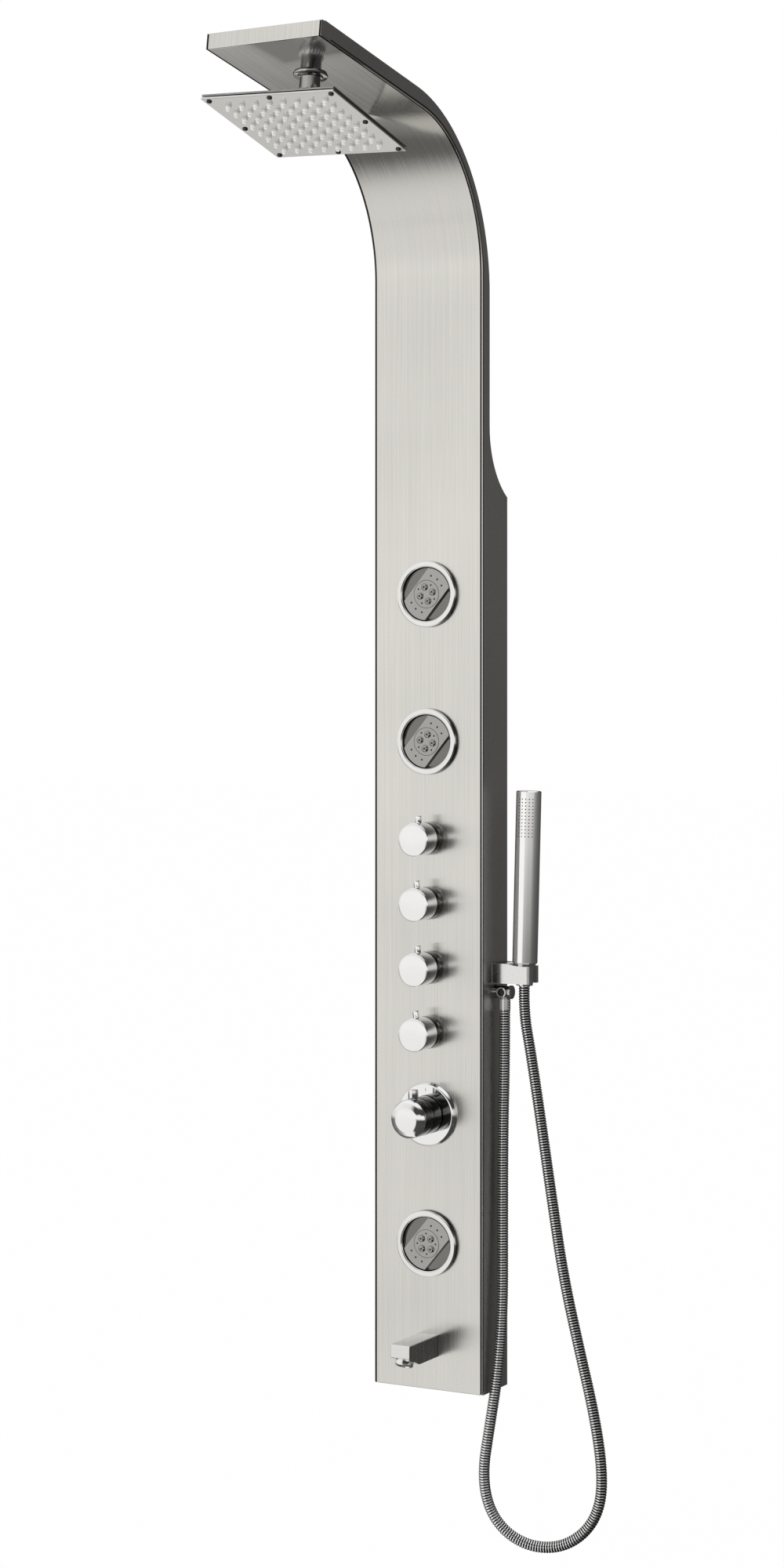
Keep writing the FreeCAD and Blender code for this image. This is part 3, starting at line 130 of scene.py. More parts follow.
def eased(corners: list[tuple[float, ...]] | Array, bite: float | Array, steps: int = 3,
          loop: bool = False) -> Array:
    """A line whose corners are eased.

    Each corner P becomes the quadratic curve (1-s)^2 A + 2s(1-s) P + s^2 B, where A and B lie on its
    two edges at the bite's distance from P, or at 0.45 of a shorter edge.

    Args:
        corners: The line's corners.
        bite: The distance, one for all or one for each.
        steps: How many lengths each curve has.
        loop: Whether the line closes on itself.

    Returns:
        The eased line's points.
    """
    p = np.asarray(corners, float)
    before = np.roll(p, 1, 0) - p
    after = np.roll(p, -1, 0) - p
    d0, d1 = np.linalg.norm(before, axis=1), np.linalg.norm(after, axis=1)
    reach = np.minimum(np.broadcast_to(bite, d0.shape), 0.45 * np.minimum(d0, d1))
    if not loop:
        reach = reach * (np.arange(len(p)) > 0) * (np.arange(len(p)) < len(p) - 1)
    a = p + before * (reach / np.maximum(d0, 1e-9))[:, None]
    b = p + after * (reach / np.maximum(d1, 1e-9))[:, None]
    s = np.linspace(0, 1, steps + 1)[None, :, None]
    line = (1 - s) ** 2 * a[:, None] + 2 * s * (1 - s) * p[:, None] + s ** 2 * b[:, None]
    line = line.reshape(-1, p.shape[1])
    keep = np.r_[True, np.linalg.norm(np.diff(line, axis=0), axis=1) > 1e-6]
    return line[keep]


def lathed(profile: list[tuple[float, float]], bite: float = 0.5, sides: int = 96, steps: int = 3,
           ring: bool = False, finish: int = 0, flats: bool = False) -> Surface:
    """A profile of (radius, height) turned about z: x = r cos a, y = r sin a.

    Args:
        profile: Its corners.
        bite: How far each corner is eased.
        sides: The points of one turn.
        steps: How many lengths each eased corner has.
        ring: Whether the profile closes on itself.
        finish: The number of the surface's finish.
        flats: Whether points just inside the ends of the longer straight lengths keep their shading flat.

    Returns:
        The surface.
    """
    line = eased(profile, bite, steps, loop=ring)
    if flats:
        after = np.roll(line, -1, 0) if ring else np.vstack([line[1:], line[-1:]])
        span = np.linalg.norm(after - line, axis=1)
        near = np.where(span > 1.0, 0.05 / np.maximum(span, 1.0), np.nan)[:, None]
        line = np.stack([line, line + near * (after - line), after - near * (after - line)], 1).reshape(-1, 2)
        line = line[~np.isnan(line).any(1)]
    angle = np.linspace(0, 2 * np.pi, sides, endpoint=False)[None, :]
    r, z = line[:, :1], line[:, 1:]
    points = np.stack([r * np.cos(angle), r * np.sin(angle), z + 0 * angle], -1).reshape(-1, 3)
    return Surface(points, lattice(len(line), sides, ring, True).tolist(), finish)


def stacked(rings: Array, finish: int = 0) -> Surface:
    """Closed rings of points joined in turn, with a flat cap on the first and the last.

    Args:
        rings: The points of the rings (n, m, 3).
        finish: The number of the surface's finish.

    Returns:
        The surface.
    """
    n, m = rings.shape[:2]
    faces = lattice(n, m, False, True).tolist()
    faces.append(list(range(m))[::-1])
    faces.append(list(range((n - 1) * m, n * m)))
    return Surface(rings.reshape(-1, 3), faces, finish)


def inset(outline: Array, amount: Array) -> Array:
    """A closed outline moved in: each point goes inwards, square to the line between its neighbours.

    Args:
        outline: Its points (m, 2), anticlockwise.
        amount: How far it is moved, once for each outcome (n).

    Returns:
        The outlines (n, m, 2).
    """
    along = np.roll(outline, -1, 0) - np.roll(outline, 1, 0)
    along /= np.linalg.norm(along, axis=1)[:, None]
    inward = np.stack([-along[:, 1], along[:, 0]], -1)
    return outline[None] + inward[None] * np.asarray(amount)[:, None, None]


def bar(outline: Array, low: float, high: float, edge: float, steps: int = 4, finish: int = 0) -> Surface:
    """An outline carried along z from low to high, its ends rounded.

    At an angle a of the rounding the outline is moved in by edge (1 - cos a) and stands edge (1 - sin a)
    short of the end. One more ring just inside it keeps the end's shading flat.

    Args:
        outline: The closed outline, anticlockwise.
        low: The height at which it starts.
        high: The height at which it ends.
        edge: The rounding's radius.
        steps: How many lengths the rounding has.
        finish: The number of the surface's finish.

    Returns:
        The surface.
    """
    a = np.linspace(0, np.pi / 2, steps + 1)
    short, slim = np.r_[edge * (1 - np.sin(a)), 0], np.r_[edge * (1 - np.cos(a)), edge * 1.1]
    z = np.r_[low + short[::-1], high - short]
    rings = inset(outline, np.r_[slim[::-1], slim])
    return stacked(np.dstack([rings, np.broadcast_to(z[:, None, None], rings.shape[:2] + (1,))]), finish)


def banded(surface: Surface, low: float, high: float, finish: int) -> Surface:
    """The same surface, whose faces that lie wholly between two heights wear another finish.

    Args:
        surface: A lathed surface.
        low: The lower height.
        high: The upper height.
        finish: The number of the finish between them.

    Returns:
        The surface, with a finish for each face.
    """
    z = surface.points[np.array(surface.faces)][:, :, 2]
    inside = (z.min(1) > low - 1e-6) & (z.max(1) < high + 1e-6)
    return Surface(surface.points, surface.faces, np.where(inside, finish, surface.finish))


def squared(width: float, depth: float, corner: float, steps: int = 4) -> Array:
    """A rectangle about the origin, anticlockwise, its corners eased."""
    w, d = width / 2, depth / 2
    return eased([(-w, -d), (w, -d), (w, d), (-w, d)], corner, steps, loop=True)


# ---------------- finishes
class Grain(Enum):
    """How a surface is worked, and the scales along x, y and z at which its pattern repeats per metre."""

    BRUSHED = (1300.0, 5.0, 5.0)
    TURNED = (700.0, 25.0, 700.0)
    SATIN = (420.0, 420.0, 420.0)
    POLISHED = (38.0, 38.0, 38.0)
    MOULDED = (900.0, 900.0, 900.0)
    CAST = (1400.0, 1400.0, 1400.0)
    DRAWN = (160.0, 160.0, 12.0)


class Graph:
    """Adds nodes to a node tree, sets their values and links them."""

    def __init__(self, tree: bpy.types.NodeTree) -> None:
        """Takes the tree that the nodes go into."""
        self.nodes, self.links = tree.nodes, tree.links

    def fill(self, node: bpy.types.Node, inputs: dict) -> None:
        """Sets a node's inputs.

        Args:
            node: The node.
            inputs: By name or number, a plain value or the socket to link from.
        """
        for key, value in inputs.items():
            if isinstance(value, Socket):
                self.links.new(value, node.inputs[key])
            else:
                node.inputs[key].default_value = value

    def add(self, kind: str, inputs: dict | None = None, **settings: str) -> bpy.types.Node:
        """Adds a node.

        Args:
            kind: Its type, without the ShaderNode before it.
            inputs: The values or sockets for its inputs, by name or number.
            settings: The choices that decide which inputs it has, set before them.

        Returns:
            The new node.
        """
        node = self.nodes.new(f"ShaderNode{kind}")
        for name, value in settings.items():
            setattr(node, name, value)
        self.fill(node, inputs or {})
        return node

    def maths(self, operation: str, *values: float | Socket) -> Socket:
        """The outcome of a sum on up to three values."""
        return self.add("Math", dict(enumerate(values)), operation=operation).outputs[0]

    def ranged(self, value: Socket, low: float, high: float, first: float = 0.0,
               last: float = 1.0, smooth: bool = False) -> Socket:
        """A value carried from the range low to high to the range first to last, and kept within it.

        Args:
            value: The socket that gives it.
            low: Where the first range starts.
            high: Where the first range ends.
            first: The outcome at low.
            last: The outcome at high.
            smooth: Whether the way between them eases at both ends.

        Returns:
            The outcome's socket.
        """
        inputs = {"Value": value, "From Min": low, "From Max": high, "To Min": first, "To Max": last}
        kind = "SMOOTHSTEP" if smooth else "LINEAR"
        return self.add("MapRange", inputs, interpolation_type=kind).outputs["Result"]


@dataclass(frozen=True)
class Finish:
    """A surface finish: its colour and how that drifts, its gloss and the relief its working leaves.

    A streak above 0 spreads the gloss across the brushing. Where calm is set, the gloss grows from its first
    y to its second, in metres, until the roughness is the third number's share of what it was.
    """

    name: str
    colour: tuple[float, float, float]
    roughness: float
    grain: Grain
    metallic: float = 1.0
    drift: float = 0.04
    gloss_drift: float = 0.05
    relief: float = 0.05
    depth: float = 0.00002
    clouding: float = 5.0
    streak: float = 0.0
    calm: tuple[float, float, float] | None = None

    def made(self) -> bpy.types.Material:
        """Builds the node material once and hands it out after that.

        Returns:
            The material: fine noise, stretched as the grain is worked, drives the relief. Mixed with wide
            soft noise it also lets colour and gloss drift, as they do on a handled surface.
        """
        known = bpy.data.materials.get(self.name)
        if known:
            return known
        material = bpy.data.materials.new(self.name)
        material.use_nodes = True
        graph = Graph(material.node_tree)
        shader = graph.nodes["Principled BSDF"]
        graph.fill(shader, {"Metallic": self.metallic})
        if self.streak:
            along = graph.add("Tangent", direction_type="RADIAL", axis="X").outputs["Tangent"]
            graph.fill(shader, {"Anisotropic": self.streak, "Anisotropic Rotation": 0.25, "Tangent": along})
        place = graph.add("TexCoord").outputs["Object"]

        def noise(scale: tuple[float, float, float], detail: float) -> Socket:
            """A noise on the piece's own coordinates, stretched by its scales."""
            spot = graph.add("Mapping", {"Scale": scale, "Vector": place}).outputs["Vector"]
            return graph.add("TexNoise", {"Scale": 1.0, "Detail": detail, "Vector": spot}).outputs["Fac"]

        fine, cloud = noise(self.grain.value, 3.0), noise((self.clouding,) * 3, 2.0)
        both = graph.maths("MULTIPLY_ADD", fine, 0.6, graph.maths("MULTIPLY", cloud, 0.4))
        shade = np.array(self.colour)
        dark, light = (np.clip(shade * (1 + way * self.drift), 0, 1) for way in (-1, 1))
        tones = {"A": (*dark, 1), "B": (*light, 1), "Factor": graph.ranged(both, 0.36, 0.64)}
        tint = graph.add("Mix", tones, data_type="RGBA").outputs["Result"]
        rough = graph.ranged(both, 0.3, 0.7, max(0.02, self.roughness - self.gloss_drift),
                             self.roughness + self.gloss_drift)
        if self.calm:
            near, far, least = self.calm
            y = graph.add("SeparateXYZ", {"Vector": place}).outputs["Y"]
            rough = graph.maths("MULTIPLY", rough, graph.ranged(y, near, far, 1.0, least, smooth=True))
        relief = graph.add("Bump", {"Strength": self.relief, "Distance": self.depth, "Height": fine})
        graph.fill(shader, {"Base Color": tint, "Roughness": rough, "Normal": relief.outputs["Normal"]})
        return material


class Finishes:
    """Every finish on the panel."""

    FRONT = Finish("brushed_front_steel", (0.70, 0.69, 0.665), 0.24, Grain.BRUSHED, drift=0.10,
                   gloss_drift=0.08, relief=0.10, streak=0.75, calm=(-0.10, -0.26, 0.5))
    # Painted shadow: near black for the front sheet's edge grooves and joint strips, the jet rings' foot and
    # the knobs' joint.
    SEAM_SHADOW = Finish("seam_shadow_steel", (0.05, 0.05, 0.048), 0.4, Grain.SATIN, drift=0.2)
    SIDE = Finish("satin_side_steel", (0.58, 0.57, 0.555), 0.36, Grain.SATIN, drift=0.07)
    # Painted dark reflection: near-black chrome for the knob and mixer barrels, the mixer's stop ring and the
    # jet rings' flanks, standing in for the dark surroundings they mirror.
    BARREL_DARK_REFLECTION = Finish("turned_barrel_painted_dark_reflection", (0.085, 0.085, 0.083), 0.12, Grain.TURNED, drift=0.65,
                    gloss_drift=0.06, relief=0.08)
    CHROME = Finish("bright_chrome", (0.86, 0.865, 0.87), 0.045, Grain.POLISHED, drift=0.015,
                    gloss_drift=0.02, relief=0.01)
    TUBE = Finish("hand_shower_chrome", (0.93, 0.935, 0.94), 0.07, Grain.POLISHED, drift=0.015,
                  gloss_drift=0.02, relief=0.01)
    HEAD = Finish("polished_head_steel", (0.72, 0.72, 0.71), 0.10, Grain.POLISHED, drift=0.03,
                  gloss_drift=0.03, relief=0.02)
    INSERT = Finish("satin_jet_plating", (0.38, 0.38, 0.37), 0.22, Grain.CAST, drift=0.05, relief=0.06)
    RING = Finish("plated_jet_ring", (0.80, 0.80, 0.795), 0.09, Grain.POLISHED, drift=0.02,
                  gloss_drift=0.03, relief=0.01)
    PLATE = Finish("dark_head_back", (0.34, 0.34, 0.335), 0.15, Grain.SATIN, drift=0.15)
    # Painted shade: the jet inserts' wells, darker than their band.
    WELL_FLOOR_SHADE = Finish("satin_jet_well_painted_shade", (0.19, 0.19, 0.185), 0.14, Grain.CAST, drift=0.10)
    # Painted shade: near black for holes, bores, grooves, gaps and recesses, and for the discs put in them.
    HOLLOW_SHADE = Finish("painted_hollow_shade", (0.025, 0.025, 0.024), 0.45, Grain.CAST, metallic=0.3, drift=0.15,
                  relief=0.2)
    HOLDER = Finish("satin_holder_zinc", (0.76, 0.765, 0.765), 0.16, Grain.SATIN, relief=0.04)
    HOSE = Finish("hose_steel", (0.93, 0.93, 0.92), 0.06, Grain.CAST, drift=0.03, relief=0.03)
    # Painted shade: near black in the hose's grooves.
    GROOVE_SHADE = Finish("hose_groove_painted_shade", (0.03, 0.03, 0.029), 0.35, Grain.CAST, drift=0.1)
    ZINC = Finish("zinc_plate", (0.52, 0.54, 0.55), 0.42, Grain.CAST, drift=0.14, gloss_drift=0.1,
                  relief=0.15, clouding=60.0)
    BRASS = Finish("cast_brass", (0.66, 0.50, 0.24), 0.34, Grain.CAST, drift=0.10, relief=0.2)
    PLASTIC = Finish("grey_moulded_plastic", (0.10, 0.10, 0.10), 0.42, Grain.MOULDED, metallic=0.0,
                     drift=0.08, relief=0.15)
    RUBBER = Finish("white_silicone", (0.90, 0.90, 0.885), 0.4, Grain.MOULDED, metallic=0.0, drift=0.02,
                    relief=0.1)
    PIPE = Finish("braided_pipe_white", (0.72, 0.73, 0.74), 0.38, Grain.DRAWN, metallic=0.0, drift=0.06,
                  relief=0.2)
    # Painted dark reflection: a darker chrome for the arm stub, the spout's sides and the hose outlet.
    NECK_DARK_REFLECTION = Finish("neck_chrome_painted_dark_reflection", (0.50, 0.50, 0.495), 0.06, Grain.POLISHED, drift=0.05,
                  gloss_drift=0.03, relief=0.01)
    # Painted shade: dark metal for the box at the holder's root and the head's screw heads.
    SHADE_METAL = Finish("painted_shade_dark_metal", (0.10, 0.10, 0.098), 0.30, Grain.SATIN, drift=0.15)
    SPOUT = Finish("satin_spout_chrome", (0.74, 0.74, 0.735), 0.08, Grain.POLISHED, drift=0.03,
                   gloss_drift=0.03, relief=0.01)
    MARK = Finish("dial_mark_black", (0.02, 0.02, 0.02), 0.5, Grain.MOULDED, metallic=0.0, drift=0.1)


# ---------------- making pieces
class Bench:
    """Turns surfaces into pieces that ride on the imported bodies."""

    @staticmethod
    def piece(name: str, surfaces: list[Surface], finishes: list[Finish], body: str | None, slot: str,
              replaces: tuple[str, ...] = (), crease: float = 32.0, welded: bool = True) -> bpy.types.Object:
        """Makes one piece from its surfaces.

        Args:
            name: The piece's name.
            surfaces: Its surfaces, in millimetres in the row frame.
            finishes: The finishes that the surfaces' numbers name.
            body: The body that it rides on, or None where it rides on none.
            slot: The record's material slot; not used.
            replaces: The CAD nodes that it stands for.
            crease: The angle in degrees over which an edge stays sharp.
            welded: Whether points in one place are merged and the faces turned outwards.

        Returns:
            The new object, at the origin.
        """
        starts = np.cumsum([0] + [len(s.points) for s in surfaces[:-1]])
        points = np.vstack([s.points for s in surfaces]) * MM
        faces = [[i + int(start) for i in face] for s, start in zip(surfaces, starts) for face in s.faces]
        mesh = bpy.data.meshes.new(name)
        mesh.from_pydata(points.tolist(), [], faces)
        worn = np.concatenate([np.broadcast_to(s.finish, len(s.faces)) for s in surfaces]).astype(np.int32)
        mesh.polygons.foreach_set("material_index", worn)
        if welded:
            shape = bmesh.new()
            shape.from_mesh(mesh)
            bmesh.ops.remove_doubles(shape, verts=shape.verts, dist=2e-6)
            bmesh.ops.recalc_face_normals(shape, faces=shape.faces)
            shape.to_mesh(mesh)
            shape.free()
        for finish in finishes:
            mesh.materials.append(finish.made())
        mesh.shade_smooth()
        mesh.set_sharp_from_angle(angle=math.radians(crease))
        made = bpy.data.objects.new(name, mesh)
        bpy.context.scene.collection.objects.link(made)
        if body:
            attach(made, body)
        if replaces:
            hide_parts(*replaces)
        LOG.info("%s: %d faces on %s", name, len(mesh.polygons), body or "two bodies")
        return made

    @staticmethod
    def dress(finish: Finish, *nodes: str) -> None:
        """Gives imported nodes, whose shapes stay as they are, a finish of this file.

        Args:
            finish: The finish.
            nodes: The nodes' names.
        """
        for node in nodes:
            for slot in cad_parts[node].material_slots:
                slot.material = finish.made()


# ---------------- the case
@dataclass
class SteelCase:
    """The bent front sheet with its grooved edges, the two sides, the cover and the wall fixings."""

    half: float = 77.5
    face: float = SHEET_FACE
    gauge: float = 1.2
    foot: float = -1070.0
    foot_width: float = 14.0
    bend_at: float = 338.8
    bend_radius: float = 185.0
    arm_length: float = 252.5
    tip_height: float = 18.8
    edge: float = 3.5
    groove: float = 1.0
    jets: tuple[float, ...] = JET_LEVELS
    opening: float = 37.6
    bead: float = 1.15
    cells: int = 24

    def side_line(self) -> tuple[Array, Array, Array, Array]:
        """Stations along the sheet's outer face, from the foot to the tip.

        Returns:
            Their (y, z), the outward normals, the half widths, and the marks of stations on the flat face.
        """
        sin, cos = math.sin(math.radians(ARM_ANGLE)), math.cos(math.radians(ARM_ANGLE))
        flat = self.half - self.edge
        spread = flat * np.tan(np.radians(np.linspace(-45, 45, self.cells + 1)))
        levels = [self.foot + 3.0]
        for z in sorted(self.jets):
            levels = np.r_[levels, np.linspace(levels[-1], z - flat, 14)[1:-1], z + spread]
        levels = np.r_[levels, np.linspace(levels[-1], self.bend_at, 18)[1:]]
        sweep = np.radians(np.linspace(0, 90 - ARM_ANGLE, 57))[1:]
        centre = self.face - self.bend_radius
        way = np.stack([np.cos(sweep), np.sin(sweep)], -1)
        arc = (centre, self.bend_at) + self.bend_radius * way
        tip = arc[-1] + self.arm_length * np.array([-cos, sin])
        foot = eased([(self.face + self.foot_width, self.foot), (self.face, self.foot),
                      (self.face, self.foot + 3.0)], 1.6, 5)
        up = np.stack([np.full(len(levels), self.face), levels], -1)
        run = np.linspace(0, 0.99, 14)[1:, None] * (tip - arc[-1]) + arc[-1]
        nose = eased([run[-1], tip, tip + self.tip_height * np.array([sin, cos])], 1.4, 5)
        line = np.vstack([foot[:-1], up, arc, run[:-1], nose])
        step = np.gradient(line, axis=0)
        step /= np.linalg.norm(step, axis=1)[:, None]
        normal = np.stack([-step[:, 1], step[:, 0]], -1)
        width = np.full(len(line), self.half)
        width[: len(foot) - 2] -= self.gauge
        flat_rows = np.zeros(len(line), bool)
        flat_rows[len(foot) - 1 : len(foot) - 1 + len(levels)] = True
        return line, normal, width, flat_rows

    def front(self) -> list[Surface]:
        """The front sheet: a closed strip section carried along the side line, with the jets' openings.

        The section runs over the outer face at columns x = f tan(a), through a groove and round a quarter
        circle at each long edge, and back along the inner face. Round an opening the rows and columns give
        way to rays from its circle to the square about it: point = (1 - t) circle + t square.

        Returns:
            The sheet's surfaces, with finish 1, a painted shadow, in the grooves and on the joint strips.
        """
        line, normal, width, flat_rows = self.side_line()
        flat = self.half - self.edge
        columns = flat * np.tan(np.radians(np.linspace(-45, 45, self.cells + 1)))
        a = np.radians([0, 20, 40, 62, 90])
        start = self.half - self.bead
        round_x = np.r_[flat + 0.1, start - 0.15, start + self.bead * np.sin(a)]
        round_d = np.r_[self.groove, self.groove, self.bead * (1 - np.cos(a))]
        inner = columns[::-1]
        x = np.r_[columns, round_x, inner, -round_x[::-1]]
        d = np.r_[0 * columns, round_d, 0 * inner + self.gauge, round_d[::-1]]
        edges = len(round_x)
        scale = (width / self.half)[:, None]
        y, z = (line[:, k : k + 1] - normal[:, k : k + 1] * d[None] for k in (0, 1))
        points = np.stack([scale * x[None], y, z], -1)
        rows, across = points.shape[:2]
        cells = lattice(rows, across, False, True)
        row = np.repeat(np.arange(rows - 1), across)
        column = np.tile(np.arange(across), rows - 1)
        n, back = self.cells, self.cells + 1 + edges
        on_face = (column < n) | ((column >= back) & (column < back + n))
        # Painted shadow: the groove columns along both long edges wear the near-black seam finish.
        painted_seam_shadow = np.isin(column, (n, n + 1, n + 2, across - 1, across - 2, across - 3)).astype(int)
        hole = np.zeros(len(cells), bool)
        for z in self.jets:
            inside = (line[:, 1] > z - flat - 0.01) & (line[:, 1] < z + flat - 0.01) & flat_rows
            hole |= inside[row] & on_face
        faces = cells[~hole].tolist()
        faces.append(list(range(across))[::-1])
        faces.append(list(range((rows - 1) * across, rows * across)))
        surfaces = [Surface(points.reshape(-1, 3), faces, np.r_[painted_seam_shadow[~hole], 0, 0])]
        for z in self.jets:
            surfaces += self.pierced_square(z, flat)
        return surfaces + self.joints()

    def joints(self) -> list[Surface]:
        """The painted shadow between the front sheet and each side: a thin dark strip carried along the side
        line.

        Returns:
            One strip for each side.
        """
        line, normal, _, flat_rows = self.side_line()
        start = int(np.argmax(flat_rows))
        line, normal = line[start:-8], normal[start:-8]
        x = np.array([-0.3, 0.06, 0.06, -0.3])
        d = np.array([1.25, 1.25, 2.9, 2.9])
        y, z = (line[:, k : k + 1] - normal[:, k : k + 1] * d[None] for k in (0, 1))
        return [stacked(np.stack([0 * y + side * (self.half + x), y, z], -1), 1) for side in (1, -1)]

    def pierced_square(self, z: float, flat: float) -> list[Surface]:
        """The square of sheet about one opening, on both faces, and the opening's wall.

        Args:
            z: The opening's height.
            flat: Half the square's side.

        Returns:
            The outer square, the inner one and the wall.
        """
        angle = np.radians(np.arange(-45, 315, 90 / self.cells))
        ray = np.stack([np.cos(angle), np.sin(angle)], -1)
        square = flat * ray / np.abs(ray).max(1)[:, None]
        t = np.linspace(0, 1, 7)[:, None, None] ** 1.3
        flat_rings = (1 - t) * (self.opening * ray)[None] + t * square[None]
        cells = lattice(7, len(angle), False, True).tolist()
        sides = []
        for depth in (self.face, self.face + self.gauge):
            x = flat_rings[..., 0]
            points = np.dstack([x, np.full(x.shape, depth), flat_rings[..., 1] + z])
            sides.append(Surface(points.reshape(-1, 3), cells))
        rim = np.stack([side.points[: len(angle)] for side in sides])
        wall = Surface(rim.reshape(-1, 3), lattice(2, len(angle), False, True).tolist())
        return [*sides, wall]

    def build(self) -> None:
        """Makes the front sheet and dresses the other sheets, rails and brackets."""
        Bench.piece("front_skin", self.front(), [Finishes.FRONT, Finishes.SEAM_SHADOW], "panel", "brushed_front",
                    ("front_panel",))
        Bench.dress(Finishes.SIDE, "side_panel_left", "side_panel_right", "back_cover")
        Bench.dress(Finishes.ZINC, "hanger_rails", "wall_bracket_upper", "wall_bracket_lower", "jet_screws")


# ---------------- body jets
@dataclass
class BodyJet:
    """One body jet: a plated ring, a swivelling insert with two wells painted darker as shade, and a turning
    nozzle disc.
    """

    letter: str
    level: float
    rotor_turn: float
    ring: float = 42.0
    bore: float = 34.5
    face: float = 4.5
    band: float = 19.6
    dish: float = 33.3

    def bezel(self) -> Surface:
        """The plated ring: a flat face, a flank coloured dark as a painted reflection and a foot coloured
        dark as a painted shadow, on a stepped and eased profile.

        Returns:
            The surface, with finish 1 at the foot and 2 on the flank.
        """
        r, b = self.ring, self.bore
        ring = lathed([(b + 0.05, 0.0), (r - 0.7, 0.0), (r - 0.7, 0.9), (r, 1.0), (r, 5.0), (r - 0.5, 6.5),
                       (r - 1.4, 6.95), (b + 1.4, 7.0), (b + 0.9, 6.6), (b + 0.9, 5.9), (b + 0.05, 5.8)],
                      0.35, 128, 3, ring=True, flats=True)
        return banded(banded(ring, 0.95, 5.05, 2), -0.1, 1.0, 1)

    def insert(self) -> list[Surface]:
        """The swivelling insert: a dished disc, a raised band across it and three spray holes at each end.

        The band's outline is two arcs of the dish's circle joined by the strip's straight edges.

        Returns:
            The disc, whose wells are painted darker as shade, the band, and the groove round the rotor and
            the holes, both painted dark as shade.
        """
        top = self.face
        disc = lathed([(0.0, 0.7), (31.6, 0.7), (33.4, 1.6), (33.9, 0.2), (33.6, -6.0), (0.0, -6.0)], 0.7, 96,
                      4, finish=1)
        reach = math.asin(self.band / self.dish)
        arc = np.linspace(-reach, reach, 17)
        ends = np.r_[arc, arc + np.pi]
        outline = self.dish * np.stack([np.cos(ends), np.sin(ends)], -1)
        outline = eased(outline, np.where(np.isin(np.arange(34), (0, 16, 17, 33)), 0.6, 0.0), 2, loop=True)
        band = bar(outline, 0.2, top, 0.45)
        groove = lathed([(17.55, top - 0.5), (18.0, top - 0.5), (18.0, top + 0.04), (17.55, top + 0.04)], 0.0,
                        80, 1, ring=True, finish=2)
        pit = lathed([(0.0, top - 0.4), (1.25, top - 0.4), (1.4, top + 0.05), (0.0, top + 0.05)], 0.1, 18, 1,
                     finish=2)
        across = turn("z", 50.0)
        pits = [pit.placed(across @ turn("z", a) @ shift(24.0)) for a in (-24, 0, 24, 156, 180, 204)]
        return [s.placed(across) for s in (disc, band, groove)] + pits

    def rotor(self) -> list[Surface]:
        """The turning disc: four domed nozzles with a bore each and four small holes between them, the bores
        and holes painted dark as shade.

        Returns:
            The disc, the domes with their bores, and the holes.
        """
        top = self.face
        disc = lathed([(0.0, top - 3.0), (17.5, top - 3.0), (17.5, top + 0.25), (0.0, top + 0.25)], 0.4, 80)
        dome = lathed([(0.0, top), (4.8, top + 0.1), (4.3, top + 1.5), (2.9, top + 2.6), (1.3, top + 2.85),
                       (1.1, top + 1.8), (0.0, top + 1.8)], 0.8, 32, 4)
        bore = lathed([(0.0, top + 1.7), (1.2, top + 1.7), (1.2, top + 2.66), (0.0, top + 2.66)], 0.1, 16, 1,
                      finish=1)
        hole = lathed([(0.0, top), (1.2, top), (1.25, top + 0.32), (0.0, top + 0.32)], 0.1, 16, 1, finish=1)
        domes = [s.placed(turn("z", 15.5 + 90 * k) @ shift(9.2)) for k in range(4) for s in (dome, bore)]
        holes = [hole.placed(turn("z", 60.5 + 90 * k) @ shift(13.0)) for k in range(4)]
        return [disc, *domes, *holes]

    def build(self) -> None:
        """Makes the ring, the insert and its disc, and dresses the ring that carries them in a dark painted
        shade.
        """
        place = on_sheet(self.level)
        name = f"jet_{self.letter}"
        turned = place @ turn("z", self.rotor_turn)
        Bench.piece(f"{name}_insert_disc", [s.placed(place) for s in self.insert()],
                    [Finishes.INSERT, Finishes.WELL_FLOOR_SHADE, Finishes.HOLLOW_SHADE], f"{name}_insert", "jet_grey",
                    (f"{name}_face",))
        Bench.piece(f"{name}_nozzle_disc", [s.placed(turned) for s in self.rotor()],
                    [Finishes.INSERT, Finishes.HOLLOW_SHADE], f"{name}_nozzle", "jet_grey", (f"{name}_rotor",))
        Bench.piece(f"{name}_ring", [self.bezel().placed(place)],
                    [Finishes.RING, Finishes.SEAM_SHADOW, Finishes.BARREL_DARK_REFLECTION], "panel", "chrome", (f"{name}_bezel",))
        # The carrier, seen as the gap round the insert, is painted dark as shade.
        Bench.dress(Finishes.HOLLOW_SHADE, f"{name}_carrier")


